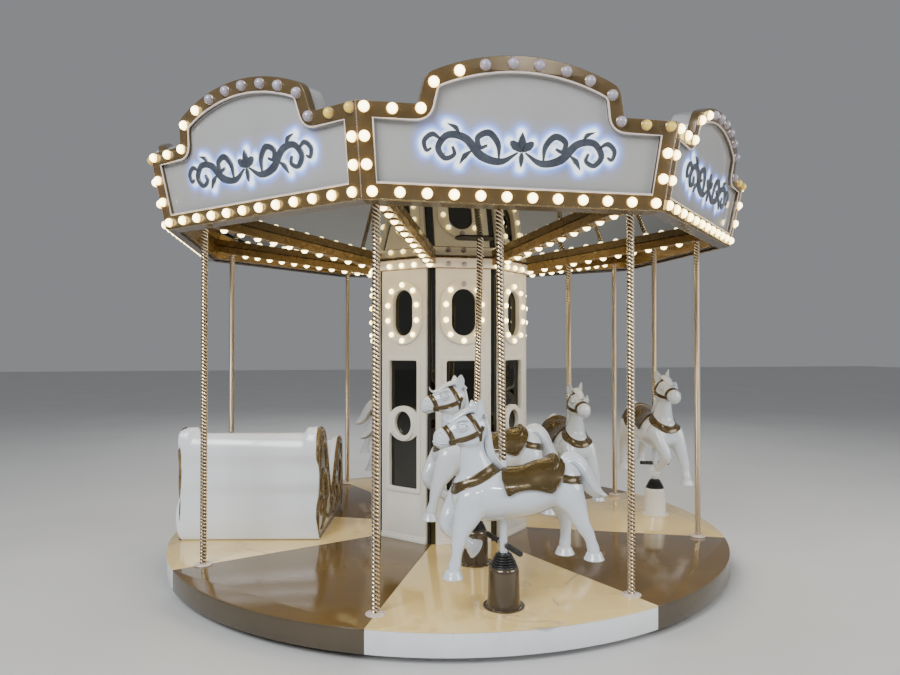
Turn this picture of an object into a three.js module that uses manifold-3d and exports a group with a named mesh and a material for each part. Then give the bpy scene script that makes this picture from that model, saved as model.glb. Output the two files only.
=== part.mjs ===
// Fairground carousel for indoor halls: a round turning deck in eight sectors, twisted posts,
// an octagonal canopy with lit rounding boards, a mirrored centre column, six rising horses
// and one chariot. Millimetres, +Z up, origin on the floor on the axis the carousel turns about.
// The front rounding board faces -Y. Angles in the plan run from -Y towards +X.
import * as THREE from "three";
import { mergeVertices } from "three/addons/utils/BufferGeometryUtils.js";
import Module from "manifold-3d";

const wasm = await Module();
wasm.setup();

// Driving dimensions
const SIDES = 8;
const SECTOR = (2 * Math.PI) / SIDES;
const TOUCH = 0.3; // clearance between pieces that rest on each other
const RUNNING = 6; // clearance between the turning deck and the fixed base

const DECK_R = 2100;
const DECK_BOTTOM = 40;
const DECK_THICK = 132;
const DECK_TOP = DECK_BOTTOM + DECK_THICK;
const DECK_HOLE_R = 320;
const NECK_R = 300;
const DECK_ARC_STEPS = 8;

const BASE_BEAM = { length: 3700, width: 100, height: DECK_BOTTOM - RUNNING };
const BASE_HUB_R = 290;
const SPINDLE = { r: 170, top: 150 };

const COLUMN_APOTHEM = 590;
const PANEL = { width: 406, thick: 25, top: 2236 };
const CORE_APOTHEM = COLUMN_APOTHEM - PANEL.thick - TOUCH;
const OVAL_WINDOW = { width: 178, height: 338, z: 1840 };
const LONG_WINDOW = { width: 250, bottom: 557, top: 1488, corner: 14 };
const CROSS_RING = { z: 1026, outerX: 148, outerZ: 130, innerX: 75, innerZ: 89 };

const CEILING = { inner: 592.5, z: 2237, slope: 0.1756, thick: 12 };
const SLOT = { length: 284, width: 55 };
const COLLAR = { outer: 602, bottom: 2155 };
const BEAM = { width: 80, depth: 52, innerR: 643, outerR: 2044 };

const POST = { ring: 1910, r: 23, flangeR: 55.5, flangeThick: 8 };

const BOARD = {
  apothem: 1982.6,
  z: 2341.7,
  lean: THREE.MathUtils.degToRad(11.03),
  halfBottom: 821,
  halfShoulder: 858.5,
  shoulder: 470,
  riserFoot: 548,
  riserTop: [531, 556],
  archEnd: [474, 636],
  archTop: 735,
  archR: 1192,
  thick: 160,
  border: 80,
  recess: 40,
  innerFace: 1905, // apothem of the upright inner face under the ceiling
};
const CROWN_LAMP = { r: 30, spread: 69, up: 696 }; // the two lamps that stand furthest forward

const HORSE_RINGS = { outer: 1783, inner: 1020 };
const HORSE_AT_BOTTOM = 178; // a horse's own zero above the deck at the bottom of the stroke
const POLE = { r: 22.5, gap: 0.4, sides: 8, endAboveDeck: 10, aboveCeiling: 100 };
const FOOTREST = { up: 143, half: 165, r: 12, gripR: 15, gripLength: 118, sweep: 20, droop: 6 };
const PEDESTAL = { flangeR: 115, flangeThick: 9, footR: 90, topR: 81, height: 221 };
const BOOT = { bottomR: 68, topR: 36, height: 74, folds: 3, foldDepth: 7 };
const PIVOT = DECK_TOP + PEDESTAL.height + BOOT.height; // where a leaning pole crosses its upright pedestal

// One pair of horses to each of three sectors. lead is how far a horse stands ahead of its
// sector's middle in degrees, rise how far above the bottom of its stroke it stands at rest,
// lean how far its pole leans back and nod how far its head is tilted up against the pole.
const HORSES = [
  { sector: 0, ring: "outer", lead: 1, rise: 19, lean: -0.7, nod: 0.7, pedestal: "brown" },
  { sector: 0, ring: "inner", lead: 1, rise: 112, lean: 1.2, nod: 2.2, pedestal: "brown" },
  { sector: 2, ring: "outer", lead: 1, rise: 107, lean: 0, nod: 0, pedestal: "white" },
  { sector: 2, ring: "inner", lead: 1, rise: 9, lean: 0, nod: 0, pedestal: "white" },
  { sector: 4, ring: "outer", lead: -1.7, rise: 50, lean: 0, nod: 0, pedestal: "white" },
  { sector: 4, ring: "inner", lead: -2.7, rise: 4, lean: 0, nod: 0, pedestal: "white" },
];

const COLOURS = {
  cream: [0xf0e6c8, 0.15, 0],
  brown: [0x6b5744, 0.2, 0.1],
  white: [0xf2f2ee, 0.2, 0],
  gold: [0x9a7440, 0.35, 0.7],
  rope: [0xc79a7a, 0.3, 0.9],
  mirror: [0x8c9499, 0.05, 1],
  steel: [0x4a4b4d, 0.5, 0.6],
};

// Solids
function weld(geometry) {
  const bare = geometry.clone();
  bare.deleteAttribute("normal");
  bare.deleteAttribute("uv");
  return mergeVertices(bare, 1e-4);
}

function solid(geometry) {
  const g = weld(geometry);
  const vertProperties = g.attributes.position.array;
  const triVerts = new Uint32Array(g.index.array);
  return new wasm.Manifold(new wasm.Mesh({ numProp: 3, vertProperties, triVerts }));
}

function geometryOf(body) {
  const mesh = body.getMesh();
  const g = new THREE.BufferGeometry();
  g.setAttribute("position", new THREE.BufferAttribute(new Float32Array(mesh.vertProperties), 3));
  g.setIndex(new THREE.BufferAttribute(new Uint32Array(mesh.triVerts), 1));
  g.computeVertexNormals();
  return g;
}

function join(...bodies) {
  return bodies.reduce((a, b) => a.add(b));
}

function box(sizeX, sizeY, sizeZ, x, y, z) {
  return new THREE.BoxGeometry(sizeX, sizeY, sizeZ).translate(x, y, z);
}

function rod(r, length, sides = 12) {
  return new THREE.CylinderGeometry(r, r, length, sides).rotateX(Math.PI / 2);
}

function lathe(profile, sides = 24) {
  const points = profile.map(([r, z]) => new THREE.Vector2(r, z));
  return new THREE.LatheGeometry(points, sides).rotateX(Math.PI / 2);
}

function prism(points, depth) {
  const shape = new THREE.Shape(points.map(([x, y]) => new THREE.Vector2(x, y)));
  return new THREE.ExtrudeGeometry(shape, { depth, bevelEnabled: false });
}

function octagon(apothem) {
  const corner = apothem / Math.cos(SECTOR / 2);
  return Array.from({ length: SIDES }, (_, k) => at(corner, (k + 0.5) * SECTOR));
}

function at(r, angle) {
  return [r * Math.sin(angle), -r * Math.cos(angle)];
}

function node(name, geometry, colour) {
  const [color, roughness, metalness] = COLOURS[colour];
  const mesh = new THREE.Mesh(geometry, new THREE.MeshStandardMaterial({ color, roughness, metalness }));
  mesh.name = name;
  return mesh;
}

// A group that stands at a sector angle, with its own -Y pointing away from the axis
function facing(angle, ...children) {
  const group = new THREE.Group();
  group.rotation.z = angle;
  group.add(...children);
  return group;
}

// Ceiling height under the sheets at a distance from the axis, square to a side
function ceilingZ(apothem) {
  return CEILING.z + CEILING.slope * (apothem - CEILING.inner);
}

// Ceiling height at a distance from the axis along a corner line, where a beam runs
function cornerZ(r) {
  return ceilingZ(r * Math.cos(SECTOR / 2));
}

function beamBottom(r) {
  return cornerZ(r) - BEAM.depth;
}

// Fixed base: a beam with the hub and spindle, and two half beams across it
function baseHub() {
  const { length, width, height } = BASE_BEAM;
  const hub = rod(BASE_HUB_R, height, 24).translate(0, 0, height / 2);
  const spindle = rod(SPINDLE.r, SPINDLE.top, 24).translate(0, 0, SPINDLE.top / 2);
  return join(solid(box(length, width, height, 0, 0, height / 2)), solid(hub), solid(spindle));
}

function baseHalfBeam() {
  const { length, width, height } = BASE_BEAM;
  const start = BASE_HUB_R + TOUCH;
  const end = length / 2;
  return box(width, end - start, height, 0, -(start + end) / 2, height / 2);
}

// Deck sector with its rim, cut along the two radial joints
function deckSector() {
  const edge = (r) => SECTOR / 2 - Math.asin(TOUCH / 2 / r);
  const arc = (r, from, to, steps) =>
    Array.from({ length: steps + 1 }, (_, i) => at(r, from + ((to - from) * i) / steps));
  const outer = arc(DECK_R, -edge(DECK_R), edge(DECK_R), DECK_ARC_STEPS);
  const inner = arc(DECK_HOLE_R, edge(DECK_HOLE_R), -edge(DECK_HOLE_R), 2);
  return prism([...outer, ...inner], DECK_THICK).translate(0, 0, DECK_BOTTOM);
}

// Post of the canopy, from its flange on the deck up to the beam
function post() {
  const top = beamBottom(POST.ring - POST.r) - TOUCH;
  const bottom = DECK_TOP + TOUCH;
  const flange = bottom + POST.flangeThick;
  const { r, flangeR } = POST;
  return lathe([[0, bottom], [flangeR, bottom], [flangeR, flange], [r, flange], [r, top], [0, top]], 14);
}

// Half outline of a rounding board from the bottom corner to the top of the arch
function boardHalfOutline() {
  const path = new THREE.Path();
  const [riserX, riserY] = BOARD.riserTop;
  const [archX, archY] = BOARD.archEnd;
  path.moveTo(BOARD.halfBottom, 0);
  path.lineTo(BOARD.halfShoulder, BOARD.shoulder);
  path.lineTo(BOARD.riserFoot + 22, BOARD.shoulder);
  path.quadraticCurveTo(BOARD.riserFoot, BOARD.shoulder, BOARD.riserFoot - 4, BOARD.shoulder + 25);
  path.lineTo(riserX, riserY);
  path.quadraticCurveTo(riserX - 9, archY - 18, archX, archY);
  const half = Math.asin(archX / BOARD.archR);
  const centre = BOARD.archTop - BOARD.archR;
  path.absarc(0, centre, BOARD.archR, Math.PI / 2 - half, Math.PI / 2, false);
  return path.getPoints(2).map((p) => [p.x, p.y]);
}

function withoutRepeats(points) {
  return points.filter(([x, y], i) => {
    const [px, py] = points[(i + points.length - 1) % points.length];
    return Math.hypot(x - px, y - py) > 1;
  });
}

function boardOutline() {
  const half = boardHalfOutline();
  const mirrored = half.slice(0, -1).reverse().map(([x, y]) => [-x, y]);
  return withoutRepeats([...half, ...mirrored]);
}

// The outline moved inwards by the width of the border
function inset(points, by) {
  const n = points.length;
  return points.map(([x, y], i) => {
    const [ax, ay] = points[(i + n - 1) % n];
    const [bx, by2] = points[(i + 1) % n];
    const before = new THREE.Vector2(x - ax, y - ay).normalize();
    const after = new THREE.Vector2(bx - x, by2 - y).normalize();
    const normal = new THREE.Vector2(-before.y - after.y, before.x + after.x).normalize();
    const reach = by / Math.abs(normal.x * -after.y + normal.y * after.x);
    return [x + normal.x * reach, y + normal.y * reach];
  });
}

// Places something drawn on the front face of a board: x along it, y up it, z out of it
function onBoard(geometry) {
  return geometry
    .rotateX(Math.PI / 2 + BOARD.lean)
    .translate(0, -BOARD.apothem, BOARD.z);
}

function sectorWedge() {
  const cut = TOUCH / 2 / Math.sin(SECTOR / 2);
  const far = 3000;
  const reach = far / Math.cos(SECTOR / 2);
  const corners = [[0, -cut], at(reach, -SECTOR / 2), at(reach, SECTOR / 2)];
  const points = [corners[0], [corners[1][0], corners[1][1] - cut], [corners[2][0], corners[2][1] - cut]];
  return prism(points, 4000);
}

function roundingBoard() {
  const outline = boardOutline();
  const slab = prism(widened(outline), BOARD.thick).translate(0, 0, -BOARD.thick);
  const field = prism(inset(outline, BOARD.border), BOARD.recess + 1).translate(0, 0, -BOARD.recess);
  const inner = prism(octagon(BOARD.innerFace), 1000).translate(0, 0, ceilingTop() + TOUCH - 1000);
  let board = solid(onBoard(slab)).subtract(solid(onBoard(field))).subtract(solid(inner));
  for (const side of [-1, 1]) {
    const { r, spread, up } = CROWN_LAMP;
    const lamp = new THREE.SphereGeometry(r, 6, 4).translate(side * spread, up, 12);
    board = board.add(solid(onBoard(lamp)));
  }
  return board.intersect(solid(sectorWedge()));
}

// The ends run past the mitre, which then cuts them
function widened(points) {
  return points.map(([x, y]) => [Math.abs(x) > BOARD.halfBottom - 1 ? x * 1.05 : x, y]);
}

// Column: core with mirrored faces, eight panels with windows
function columnCore() {
  const shaftBottom = DECK_TOP + TOUCH;
  const shaft = prism(octagon(CORE_APOTHEM), CEILING.z - 1 - shaftBottom).translate(0, 0, shaftBottom);
  const neckBottom = SPINDLE.top + TOUCH;
  const neck = rod(NECK_R, DECK_TOP - neckBottom + 5, 24);
  return join(solid(shaft), solid(neck.translate(0, 0, (DECK_TOP + neckBottom + 5) / 2)));
}

function ellipsePath(rx, rz, z) {
  return new THREE.Path().absellipse(0, z, rx, rz, 0, 2 * Math.PI, true, 0);
}

function stadiumPath({ width, height, z }) {
  const r = width / 2;
  const half = height / 2 - r;
  const path = new THREE.Path();
  path.absarc(0, z + half, r, 0, Math.PI, false);
  path.absarc(0, z - half, r, Math.PI, 2 * Math.PI, false);
  path.closePath();
  return path;
}

// One of the two openings of the long window, cut off by the ring that crosses it
function windowHalf(side) {
  const x = LONG_WINDOW.width / 2;
  const c = LONG_WINDOW.corner;
  const far = side > 0 ? LONG_WINDOW.top : LONG_WINDOW.bottom;
  const reach = Math.acos(x / CROSS_RING.outerX);
  const ring = Array.from({ length: 9 }, (_, i) => {
    const a = reach + ((Math.PI - 2 * reach) * i) / 8;
    return [CROSS_RING.outerX * Math.cos(a), CROSS_RING.z + side * CROSS_RING.outerZ * Math.sin(a)];
  });
  const points = [...ring, [-x, far - side * c], [-x + c, far], [x - c, far], [x, far - side * c]];
  return new THREE.Path(points.map(([px, py]) => new THREE.Vector2(px, py)));
}

function columnPanel() {
  const bottom = DECK_TOP + TOUCH;
  const half = PANEL.width / 2;
  const shape = new THREE.Shape();
  shape.moveTo(-half, bottom);
  shape.lineTo(half, bottom);
  shape.lineTo(half, PANEL.top);
  shape.lineTo(-half, PANEL.top);
  shape.holes.push(stadiumPath(OVAL_WINDOW));
  shape.holes.push(ellipsePath(CROSS_RING.innerX, CROSS_RING.innerZ, CROSS_RING.z));
  shape.holes.push(windowHalf(1), windowHalf(-1));
  const options = { depth: PANEL.thick, bevelEnabled: false, curveSegments: 4 };
  const plate = new THREE.ExtrudeGeometry(shape, options);
  return plate.rotateX(Math.PI / 2).translate(0, -COLUMN_APOTHEM + PANEL.thick, 0);
}

// Ceiling: eight mirror sheets that rise outwards, with a slot for each horse pole
function ceilingTop() {
  return ceilingZ(BOARD.innerFace) + CEILING.thick;
}

function ceilingSheet(k) {
  const corners = [CEILING.inner, BOARD.innerFace - TOUCH].flatMap((apothem) => {
    const r = apothem / Math.cos(SECTOR / 2);
    const left = at(r, (k - 0.5) * SECTOR);
    const right = at(r, (k + 0.5) * SECTOR);
    const z = ceilingZ(apothem);
    return [[...left, z], [...right, z], [...left, z + CEILING.thick], [...right, z + CEILING.thick]];
  });
  const faces = [
    [0, 1, 3, 2], [5, 4, 6, 7], [0, 4, 5, 1], [2, 3, 7, 6], [1, 5, 7, 3], [4, 0, 2, 6],
  ];
  const g = new THREE.BufferGeometry();
  g.setAttribute("position", new THREE.BufferAttribute(new Float32Array(corners.flat()), 3));
  g.setIndex(faces.flatMap(([a, b, c, d]) => [a, c, b, a, d, c]));
  return solid(g);
}

function horseAngle({ sector, lead }) {
  return sector * SECTOR - THREE.MathUtils.degToRad(lead);
}

function slotCutter(horse) {
  const r = HORSE_RINGS[horse.ring];
  const angle = horseAngle(horse);
  const straight = SLOT.length - SLOT.width;
  const round = (x) => rod(SLOT.width / 2, 400, 8).translate(x, 0, 0);
  const cutter = join(
    solid(box(straight, SLOT.width, 400, 0, 0, 0)),
    solid(round(straight / 2)),
    solid(round(-straight / 2)),
  );
  return cutter.rotate([0, 0, THREE.MathUtils.radToDeg(angle)]).translate([...at(r, angle), ceilingZ(r)]);
}

function ceiling() {
  const sheets = Array.from({ length: SIDES }, (_, k) => ceilingSheet(k));
  return HORSES.reduce((body, horse) => body.subtract(slotCutter(horse)), join(...sheets));
}

// Roof frame: the collar round the column head and the eight beams that carry the ceiling
function roofFrame() {
  const top = CEILING.z - TOUCH;
  const ring = solid(prism(octagon(COLLAR.outer), top - COLLAR.bottom)).subtract(
    solid(prism(octagon(COLUMN_APOTHEM + TOUCH), top)),
  );
  const collar = ring.translate([0, 0, COLLAR.bottom]);
  const beams = Array.from({ length: SIDES }, (_, k) => roofBeam().rotate([0, 0, (k + 0.5) * 45]));
  return join(collar, ...beams);
}

function roofBeam() {
  const { innerR, outerR, width } = BEAM;
  const side = [
    [innerR, beamBottom(innerR)],
    [outerR, beamBottom(outerR)],
    [outerR, cornerZ(outerR) - TOUCH],
    [innerR, cornerZ(innerR) - TOUCH],
  ];
  const bar = prism(side, width).rotateX(Math.PI / 2).translate(0, width / 2, 0);
  return solid(bar.rotateZ(-Math.PI / 2));
}

// Tilts a piece about the point where its pole crosses the pedestal
function leant(geometry, lean) {
  return geometry.translate(0, 0, -PIVOT).rotateY(THREE.MathUtils.degToRad(lean)).translate(0, 0, PIVOT);
}

// Pedestal with its rubber boot, bored for the pole
function pedestal({ lean }) {
  const { flangeR, flangeThick, footR, topR, height } = PEDESTAL;
  const profile = [[0, 0], [flangeR, 0], [flangeR, flangeThick], [footR, flangeThick]];
  profile.push([topR, height - 6], [topR - 8, height]);
  const fold = BOOT.height / BOOT.folds;
  for (let i = 0; i < BOOT.folds; i += 1) {
    const wide = THREE.MathUtils.lerp(BOOT.bottomR, BOOT.topR + 6, i / (BOOT.folds - 1));
    profile.push([wide - BOOT.foldDepth, height + i * fold], [wide, height + (i + 0.5) * fold]);
  }
  profile.push([BOOT.topR, height + BOOT.height], [0, height + BOOT.height]);
  const bore = rod(POLE.r + POLE.gap, 900, POLE.sides).translate(0, 0, PIVOT);
  return solid(lathe(profile, 12).translate(0, 0, DECK_TOP + TOUCH)).subtract(solid(leant(bore, lean)));
}

// Pole with its footrest bar, from inside the pedestal to above the ceiling
function pole(horse) {
  const r = HORSE_RINGS[horse.ring];
  const bottom = DECK_TOP + POLE.endAboveDeck + horse.rise;
  const top = ceilingZ(r) + POLE.aboveCeiling + horse.rise;
  const shaft = rod(POLE.r, top - bottom, POLE.sides).translate(0, 0, (top + bottom) / 2);
  const z = horseZ(horse) + FOOTREST.up;
  const { half, r: barR, gripR, gripLength, sweep, droop } = FOOTREST;
  const across = (radius, from, to) =>
    rod(radius, to - from, 8)
      .rotateX(Math.PI / 2)
      .translate(0, (from + to) / 2, 0)
      .rotateX(THREE.MathUtils.degToRad(droop))
      .rotateZ(THREE.MathUtils.degToRad(sweep))
      .translate(0, 0, z);
  return join(
    solid(shaft),
    solid(across(barR, -half + 10, half - 10)),
    solid(across(gripR, half - gripLength, half)),
    solid(across(gripR, -half, gripLength - half)),
  );
}

function horseZ(horse) {
  return DECK_TOP + HORSE_AT_BOTTOM + horse.rise;
}

// A closed skin round a row of stations [x, y, z, half depth, half width] in the horse's own
// frame: x forwards, y to its left, z up
function limb(stations, sides = 6) {
  const centres = stations.map(([x, y, z]) => new THREE.Vector3(x, y, z));
  const positions = [];
  stations.forEach(([, , , depth, width], i) => {
    const ahead = centres[Math.min(i + 1, centres.length - 1)];
    const behind = centres[Math.max(i - 1, 0)];
    const along = ahead.clone().sub(behind).normalize();
    const across = new THREE.Vector3(0, 1, 0).addScaledVector(along, -along.y).normalize();
    const up = across.clone().cross(along).normalize();
    for (let k = 0; k < sides; k += 1) {
      const a = (2 * Math.PI * (k + 0.5)) / sides;
      const p = centres[i].clone().addScaledVector(up, depth * Math.cos(a));
      p.addScaledVector(across, width * Math.sin(a));
      positions.push(p.x, p.y, p.z);
    }
  });
  const last = (stations.length - 1) * sides;
  const index = [];
  for (let i = 0; i < stations.length - 1; i += 1) {
    for (let k = 0; k < sides; k += 1) {
      const [a, b] = [i * sides + k, i * sides + ((k + 1) % sides)];
      index.push(a, b, b + sides, a, b + sides, a + sides);
    }
  }
  for (let k = 1; k < sides - 1; k += 1) {
    index.push(0, k + 1, k, last, last + k, last + k + 1);
  }
  const g = new THREE.BufferGeometry();
  g.setAttribute("position", new THREE.BufferAttribute(new Float32Array(positions), 3));
  g.setIndex(index);
  return solid(g);
}

const BARREL = [
  [270, 0, 422, 58, 55],
  [225, 0, 428, 112, 105],
  [125, 0, 419, 144, 140],
  [0, 0, 416, 138, 140],
  [-130, 0, 424, 134, 135],
  [-240, 0, 459, 134, 145],
  [-340, 0, 472, 133, 150],
  [-410, 0, 460, 105, 115],
  [-440, 0, 455, 55, 60],
];
const NECK = [
  [130, 0, 470, 140, 105],
  [150, 0, 560, 102, 85],
  [172, 0, 650, 72, 74],
  [165, 0, 780, 66, 62],
];
const HEAD = [
  [105, 0, 800, 55, 55],
  [150, 0, 790, 96, 75],
  [215, 0, 775, 92, 75],
  [340, 0, 742, 52, 56],
  [375, 0, 738, 48, 52],
  [392, 0, 737, 25, 28],
];
const FORELOCK = [
  [105, 0, 868, 20, 24],
  [165, 0, 876, 30, 40],
  [250, 0, 858, 26, 34],
  [345, 0, 872, 8, 10],
];
const MANE = [
  [104, 0, 875, 22, 26],
  [92, 0, 735, 28, 30],
  [62, 0, 610, 28, 30],
  [-14, 0, 536, 10, 12],
];
const TAIL = [
  [-340, 0, 572, 30, 30],
  [-401, 0, 590, 38, 36],
  [-455, 0, 530, 44, 40],
  [-530, 0, 420, 36, 32],
  [-603, 0, 390, 8, 8],
];
const FRONT_LEG = [
  [175, 95, 425, 92, 58],
  [254, 112, 252, 60, 50],
  [276, 125, 165, 40, 40],
  [291, 128, 84, 45, 45],
  [302, 130, 27, 56, 54],
  [302, 130, 16, 56, 54],
];
const RAISED_LEG = [
  [190, -98, 425, 88, 55],
  [308, -52, 257, 50, 46],
  [237, -58, 170, 36, 38],
  [170, -62, 130, 42, 44],
  [134, -64, 102, 46, 46],
];
const REAR_LEGS = [
  [
    [-335, 85, 452, 123, 70], [-385, 100, 355, 88, 62], [-412, 104, 268, 50, 48],
    [-465, 106, 176, 38, 38], [-482, 106, 122, 42, 42], [-486, 106, 76, 56, 54],
    [-486, 106, 64, 56, 54],
  ],
  [
    [-325, -85, 445, 116, 70], [-365, -100, 335, 82, 60], [-395, -104, 260, 50, 48],
    [-400, -106, 175, 37, 38], [-394, -106, 98, 42, 42], [-393, -106, 49, 58, 54],
    [-393, -106, 37, 58, 54],
  ],
];
const SADDLE_Z = 480;
const SADDLE_THICK = 12;
const EAR = { x: 142, y: 55, z: 893, height: 112, r: 30, splay: 0.1 };
const SADDLE_SIDE = [
  [0, 760], [-8, 560], [8, 445], [-116, 467], [-245, 450], [-288, 504], [-330, 530], [-362, 585],
  [-366, 760],
];
const CANTLE = [[-270, 0, 588, 20, 70], [-312, 0, 598, 22, 90], [-352, 0, 590, 16, 66]];

function ears() {
  return [-1, 1].map((side) => {
    const cone = new THREE.ConeGeometry(EAR.r, EAR.height, 5).rotateX(Math.PI / 2);
    return solid(cone.rotateX(-side * EAR.splay).translate(EAR.x, side * EAR.y, EAR.z));
  });
}

// Saddle and flaps: a thicker skin over the back, trimmed to the saddle's side view
function saddle() {
  const thicker = ([x, y, z, depth, width]) => [x, y, z, depth + SADDLE_THICK, width + SADDLE_THICK];
  const skin = limb(BARREL.slice(2, -1).map(thicker), 8);
  const trim = prism(SADDLE_SIDE, 400).rotateX(Math.PI / 2).translate(0, 200, 0);
  return join(skin.intersect(solid(trim)), limb(CANTLE));
}

// The horse, tilted about its saddle against the upright pole hole
function horseBody({ nod }) {
  const parts = [NECK, HEAD, FORELOCK, MANE, TAIL, FRONT_LEG, RAISED_LEG, ...REAR_LEGS];
  const whole = join(limb(BARREL, 8), ...parts.map((stations) => limb(stations)), ...ears(), saddle());
  const tilted = whole.translate([0, 0, -SADDLE_Z]).rotate([0, -nod, 0]).translate([0, 0, SADDLE_Z]);
  return tilted.subtract(solid(rod(POLE.r + TOUCH, 2000, POLE.sides)));
}

// Chariot: plan in its own turned frame, x along its width and y forwards
const CHARIOT = {
  turn: THREE.MathUtils.degToRad(-10.81),
  outerX: -1971,
  innerX: -955,
  rearY: -504,
  innerLength: 1134,
  outerLength: 766,
  endThick: 60,
};
const CHARIOT_END = [
  [40, 0], [1000, 0], [1090, 40], [1130, 150], [1134, 300], [1112, 420], [1120, 540], [1080, 620],
  [1010, 638], [930, 610], [830, 480], [720, 300], [610, 222], [520, 300], [420, 520], [330, 720],
  [250, 815], [160, 841], [70, 820], [14, 740], [0, 640], [24, 520], [10, 420], [28, 330],
  [4, 200], [12, 70],
];
const CHARIOT_SHELL = [
  [60, 4], [1050, 4], [1100, 60], [1098, 560], [1060, 600], [1040, 560], [1050, 90], [1020, 54], [560, 54],
  [560, 390], [150, 390], [110, 760], [70, 799], [30, 770], [24, 560], [44, 330], [20, 120], [30, 30],
];

function chariotEnd(length, x) {
  const k = length / CHARIOT.innerLength;
  const plate = prism(CHARIOT_END.map(([s, z]) => [s * k, z]), CHARIOT.endThick);
  return plate
    .rotateX(Math.PI / 2)
    .rotateZ(Math.PI / 2)
    .translate(x, CHARIOT.rearY, DECK_TOP + TOUCH);
}

// Back sheet, seat, floor and front sheet in one shell between the ends
function chariotShell() {
  const outer = CHARIOT.outerX + CHARIOT.endThick + TOUCH;
  const inner = CHARIOT.innerX - CHARIOT.endThick - TOUCH;
  const plate = prism(CHARIOT_SHELL, inner - outer)
    .rotateX(Math.PI / 2)
    .rotateZ(Math.PI / 2)
    .translate(outer, 0, 0);
  const place = plate.attributes.position;
  for (let i = 0; i < place.count; i += 1) {
    const share = (place.getX(i) - CHARIOT.outerX) / (CHARIOT.innerX - CHARIOT.outerX);
    const length = THREE.MathUtils.lerp(CHARIOT.outerLength, CHARIOT.innerLength, share);
    place.setY(i, (place.getY(i) * length) / CHARIOT.innerLength);
  }
  return plate.translate(0, CHARIOT.rearY, DECK_TOP + TOUCH);
}

// Assembly
const carousel = new THREE.Group();

carousel.add(node("base_frame", geometryOf(baseHub()), "steel"));
["base_beam_front", "base_beam_rear"].forEach((name, i) => {
  carousel.add(facing(i * Math.PI, node(name, baseHalfBeam(), "steel")));
});

carousel.add(node("column_core", geometryOf(columnCore()), "mirror"));
carousel.add(node("ceiling", geometryOf(ceiling()), "mirror"));
carousel.add(node("roof_frame", geometryOf(roofFrame()), "gold"));

const boardBody = geometryOf(roundingBoard());
for (let k = 0; k < SIDES; k += 1) {
  const creamSector = k % 2 === 0;
  const name = `${creamSector ? "deck_cream" : "deck_brown"}_${Math.floor(k / 2) + 1}`;
  const angle = k * SECTOR;
  const [x, y] = at(POST.ring, SECTOR / 2);
  carousel.add(facing(angle, node(name, deckSector(), creamSector ? "cream" : "brown")));
  carousel.add(facing(angle, node(`post_${k + 1}`, post().translate(x, y, 0), "rope")));
  carousel.add(facing(angle, node(`column_panel_${k + 1}`, columnPanel(), "white")));
  carousel.add(facing(angle, node(`rounding_board_${k + 1}`, boardBody.clone(), "white")));
}

HORSES.forEach((horse, i) => {
  const stand = geometryOf(pedestal(horse));
  const shaft = leant(geometryOf(pole(horse)), horse.lean);
  const shape = geometryOf(horseBody(horse)).rotateZ(Math.PI).translate(0, 0, horseZ(horse));
  const meshes = [
    node(`pedestal_${i + 1}`, stand, horse.pedestal),
    node(`pole_${i + 1}`, shaft, "rope"),
    node(`horse_${i + 1}`, leant(shape, horse.lean), "white"),
  ];
  meshes.forEach((mesh) => mesh.position.set(0, -HORSE_RINGS[horse.ring], 0));
  carousel.add(facing(horseAngle(horse), ...meshes));
});

const chariot = new THREE.Group();
chariot.rotation.z = CHARIOT.turn;
chariot.add(
  node("chariot_shell", chariotShell(), "white"),
  node("chariot_end_outer", chariotEnd(CHARIOT.outerLength, CHARIOT.outerX), "gold"),
  node("chariot_end_inner", chariotEnd(CHARIOT.innerLength, CHARIOT.innerX - CHARIOT.endThick), "gold"),
);
carousel.add(chariot);

export default carousel;
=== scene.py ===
"""Looks of the fairground carousel. Shapes are drawn in millimetres, in the part's own frame."""

import math

import bmesh
import bpy
import numpy as np
from mathutils import Matrix, Vector
from mathutils.bvhtree import BVHTree


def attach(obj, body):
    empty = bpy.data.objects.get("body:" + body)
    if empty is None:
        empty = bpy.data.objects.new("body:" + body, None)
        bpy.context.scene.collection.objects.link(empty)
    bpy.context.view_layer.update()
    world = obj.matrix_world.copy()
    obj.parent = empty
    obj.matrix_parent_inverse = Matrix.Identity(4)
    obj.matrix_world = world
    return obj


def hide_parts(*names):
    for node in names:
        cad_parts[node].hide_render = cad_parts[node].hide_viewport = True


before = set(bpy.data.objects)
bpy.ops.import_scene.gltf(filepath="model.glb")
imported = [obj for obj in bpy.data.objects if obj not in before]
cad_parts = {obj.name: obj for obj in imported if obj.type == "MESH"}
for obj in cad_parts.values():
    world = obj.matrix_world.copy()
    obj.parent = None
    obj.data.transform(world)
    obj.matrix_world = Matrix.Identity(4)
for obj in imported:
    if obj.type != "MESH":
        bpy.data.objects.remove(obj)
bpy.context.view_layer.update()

# Dimensions, as in the part
SECTOR = math.radians(45)
DECK_R, DECK_BOTTOM, DECK_TOP, DECK_HOLE = 2100, 40, 172, 320
ON_DECK = DECK_TOP + 0.3
COLUMN, PANEL_HALF, PANEL_THICK, PANEL_TOP = 590, 203, 25, 2236
CEILING_INNER, CEILING_Z, CEILING_SLOPE = 592.5, 2237, 0.1756
COLLAR, COLLAR_BOTTOM, COLLAR_TOP = 602.3, 2155, 2233
POST_RING, POST_R = 1910, 23
BEAM_DEPTH, BEAM_START, BEAM_END = 52, 660, 1890
BEAM_LAMPS, BEAM_LAMP_R, LAST_LAMP = 11, 25, 1785
APOTHEM, BOARD_Z, LEAN = 1982.6, 2341.7, math.radians(11.03)
RINGS = {"outer": 1783, "inner": 1020}
POLE_R, SADDLE_Z = 22.5, 480
PIVOT = DECK_TOP + 221 + 74
HORSE_ZERO = DECK_TOP + 178
OVAL_Z, RING_Z = 1840, 1026
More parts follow.
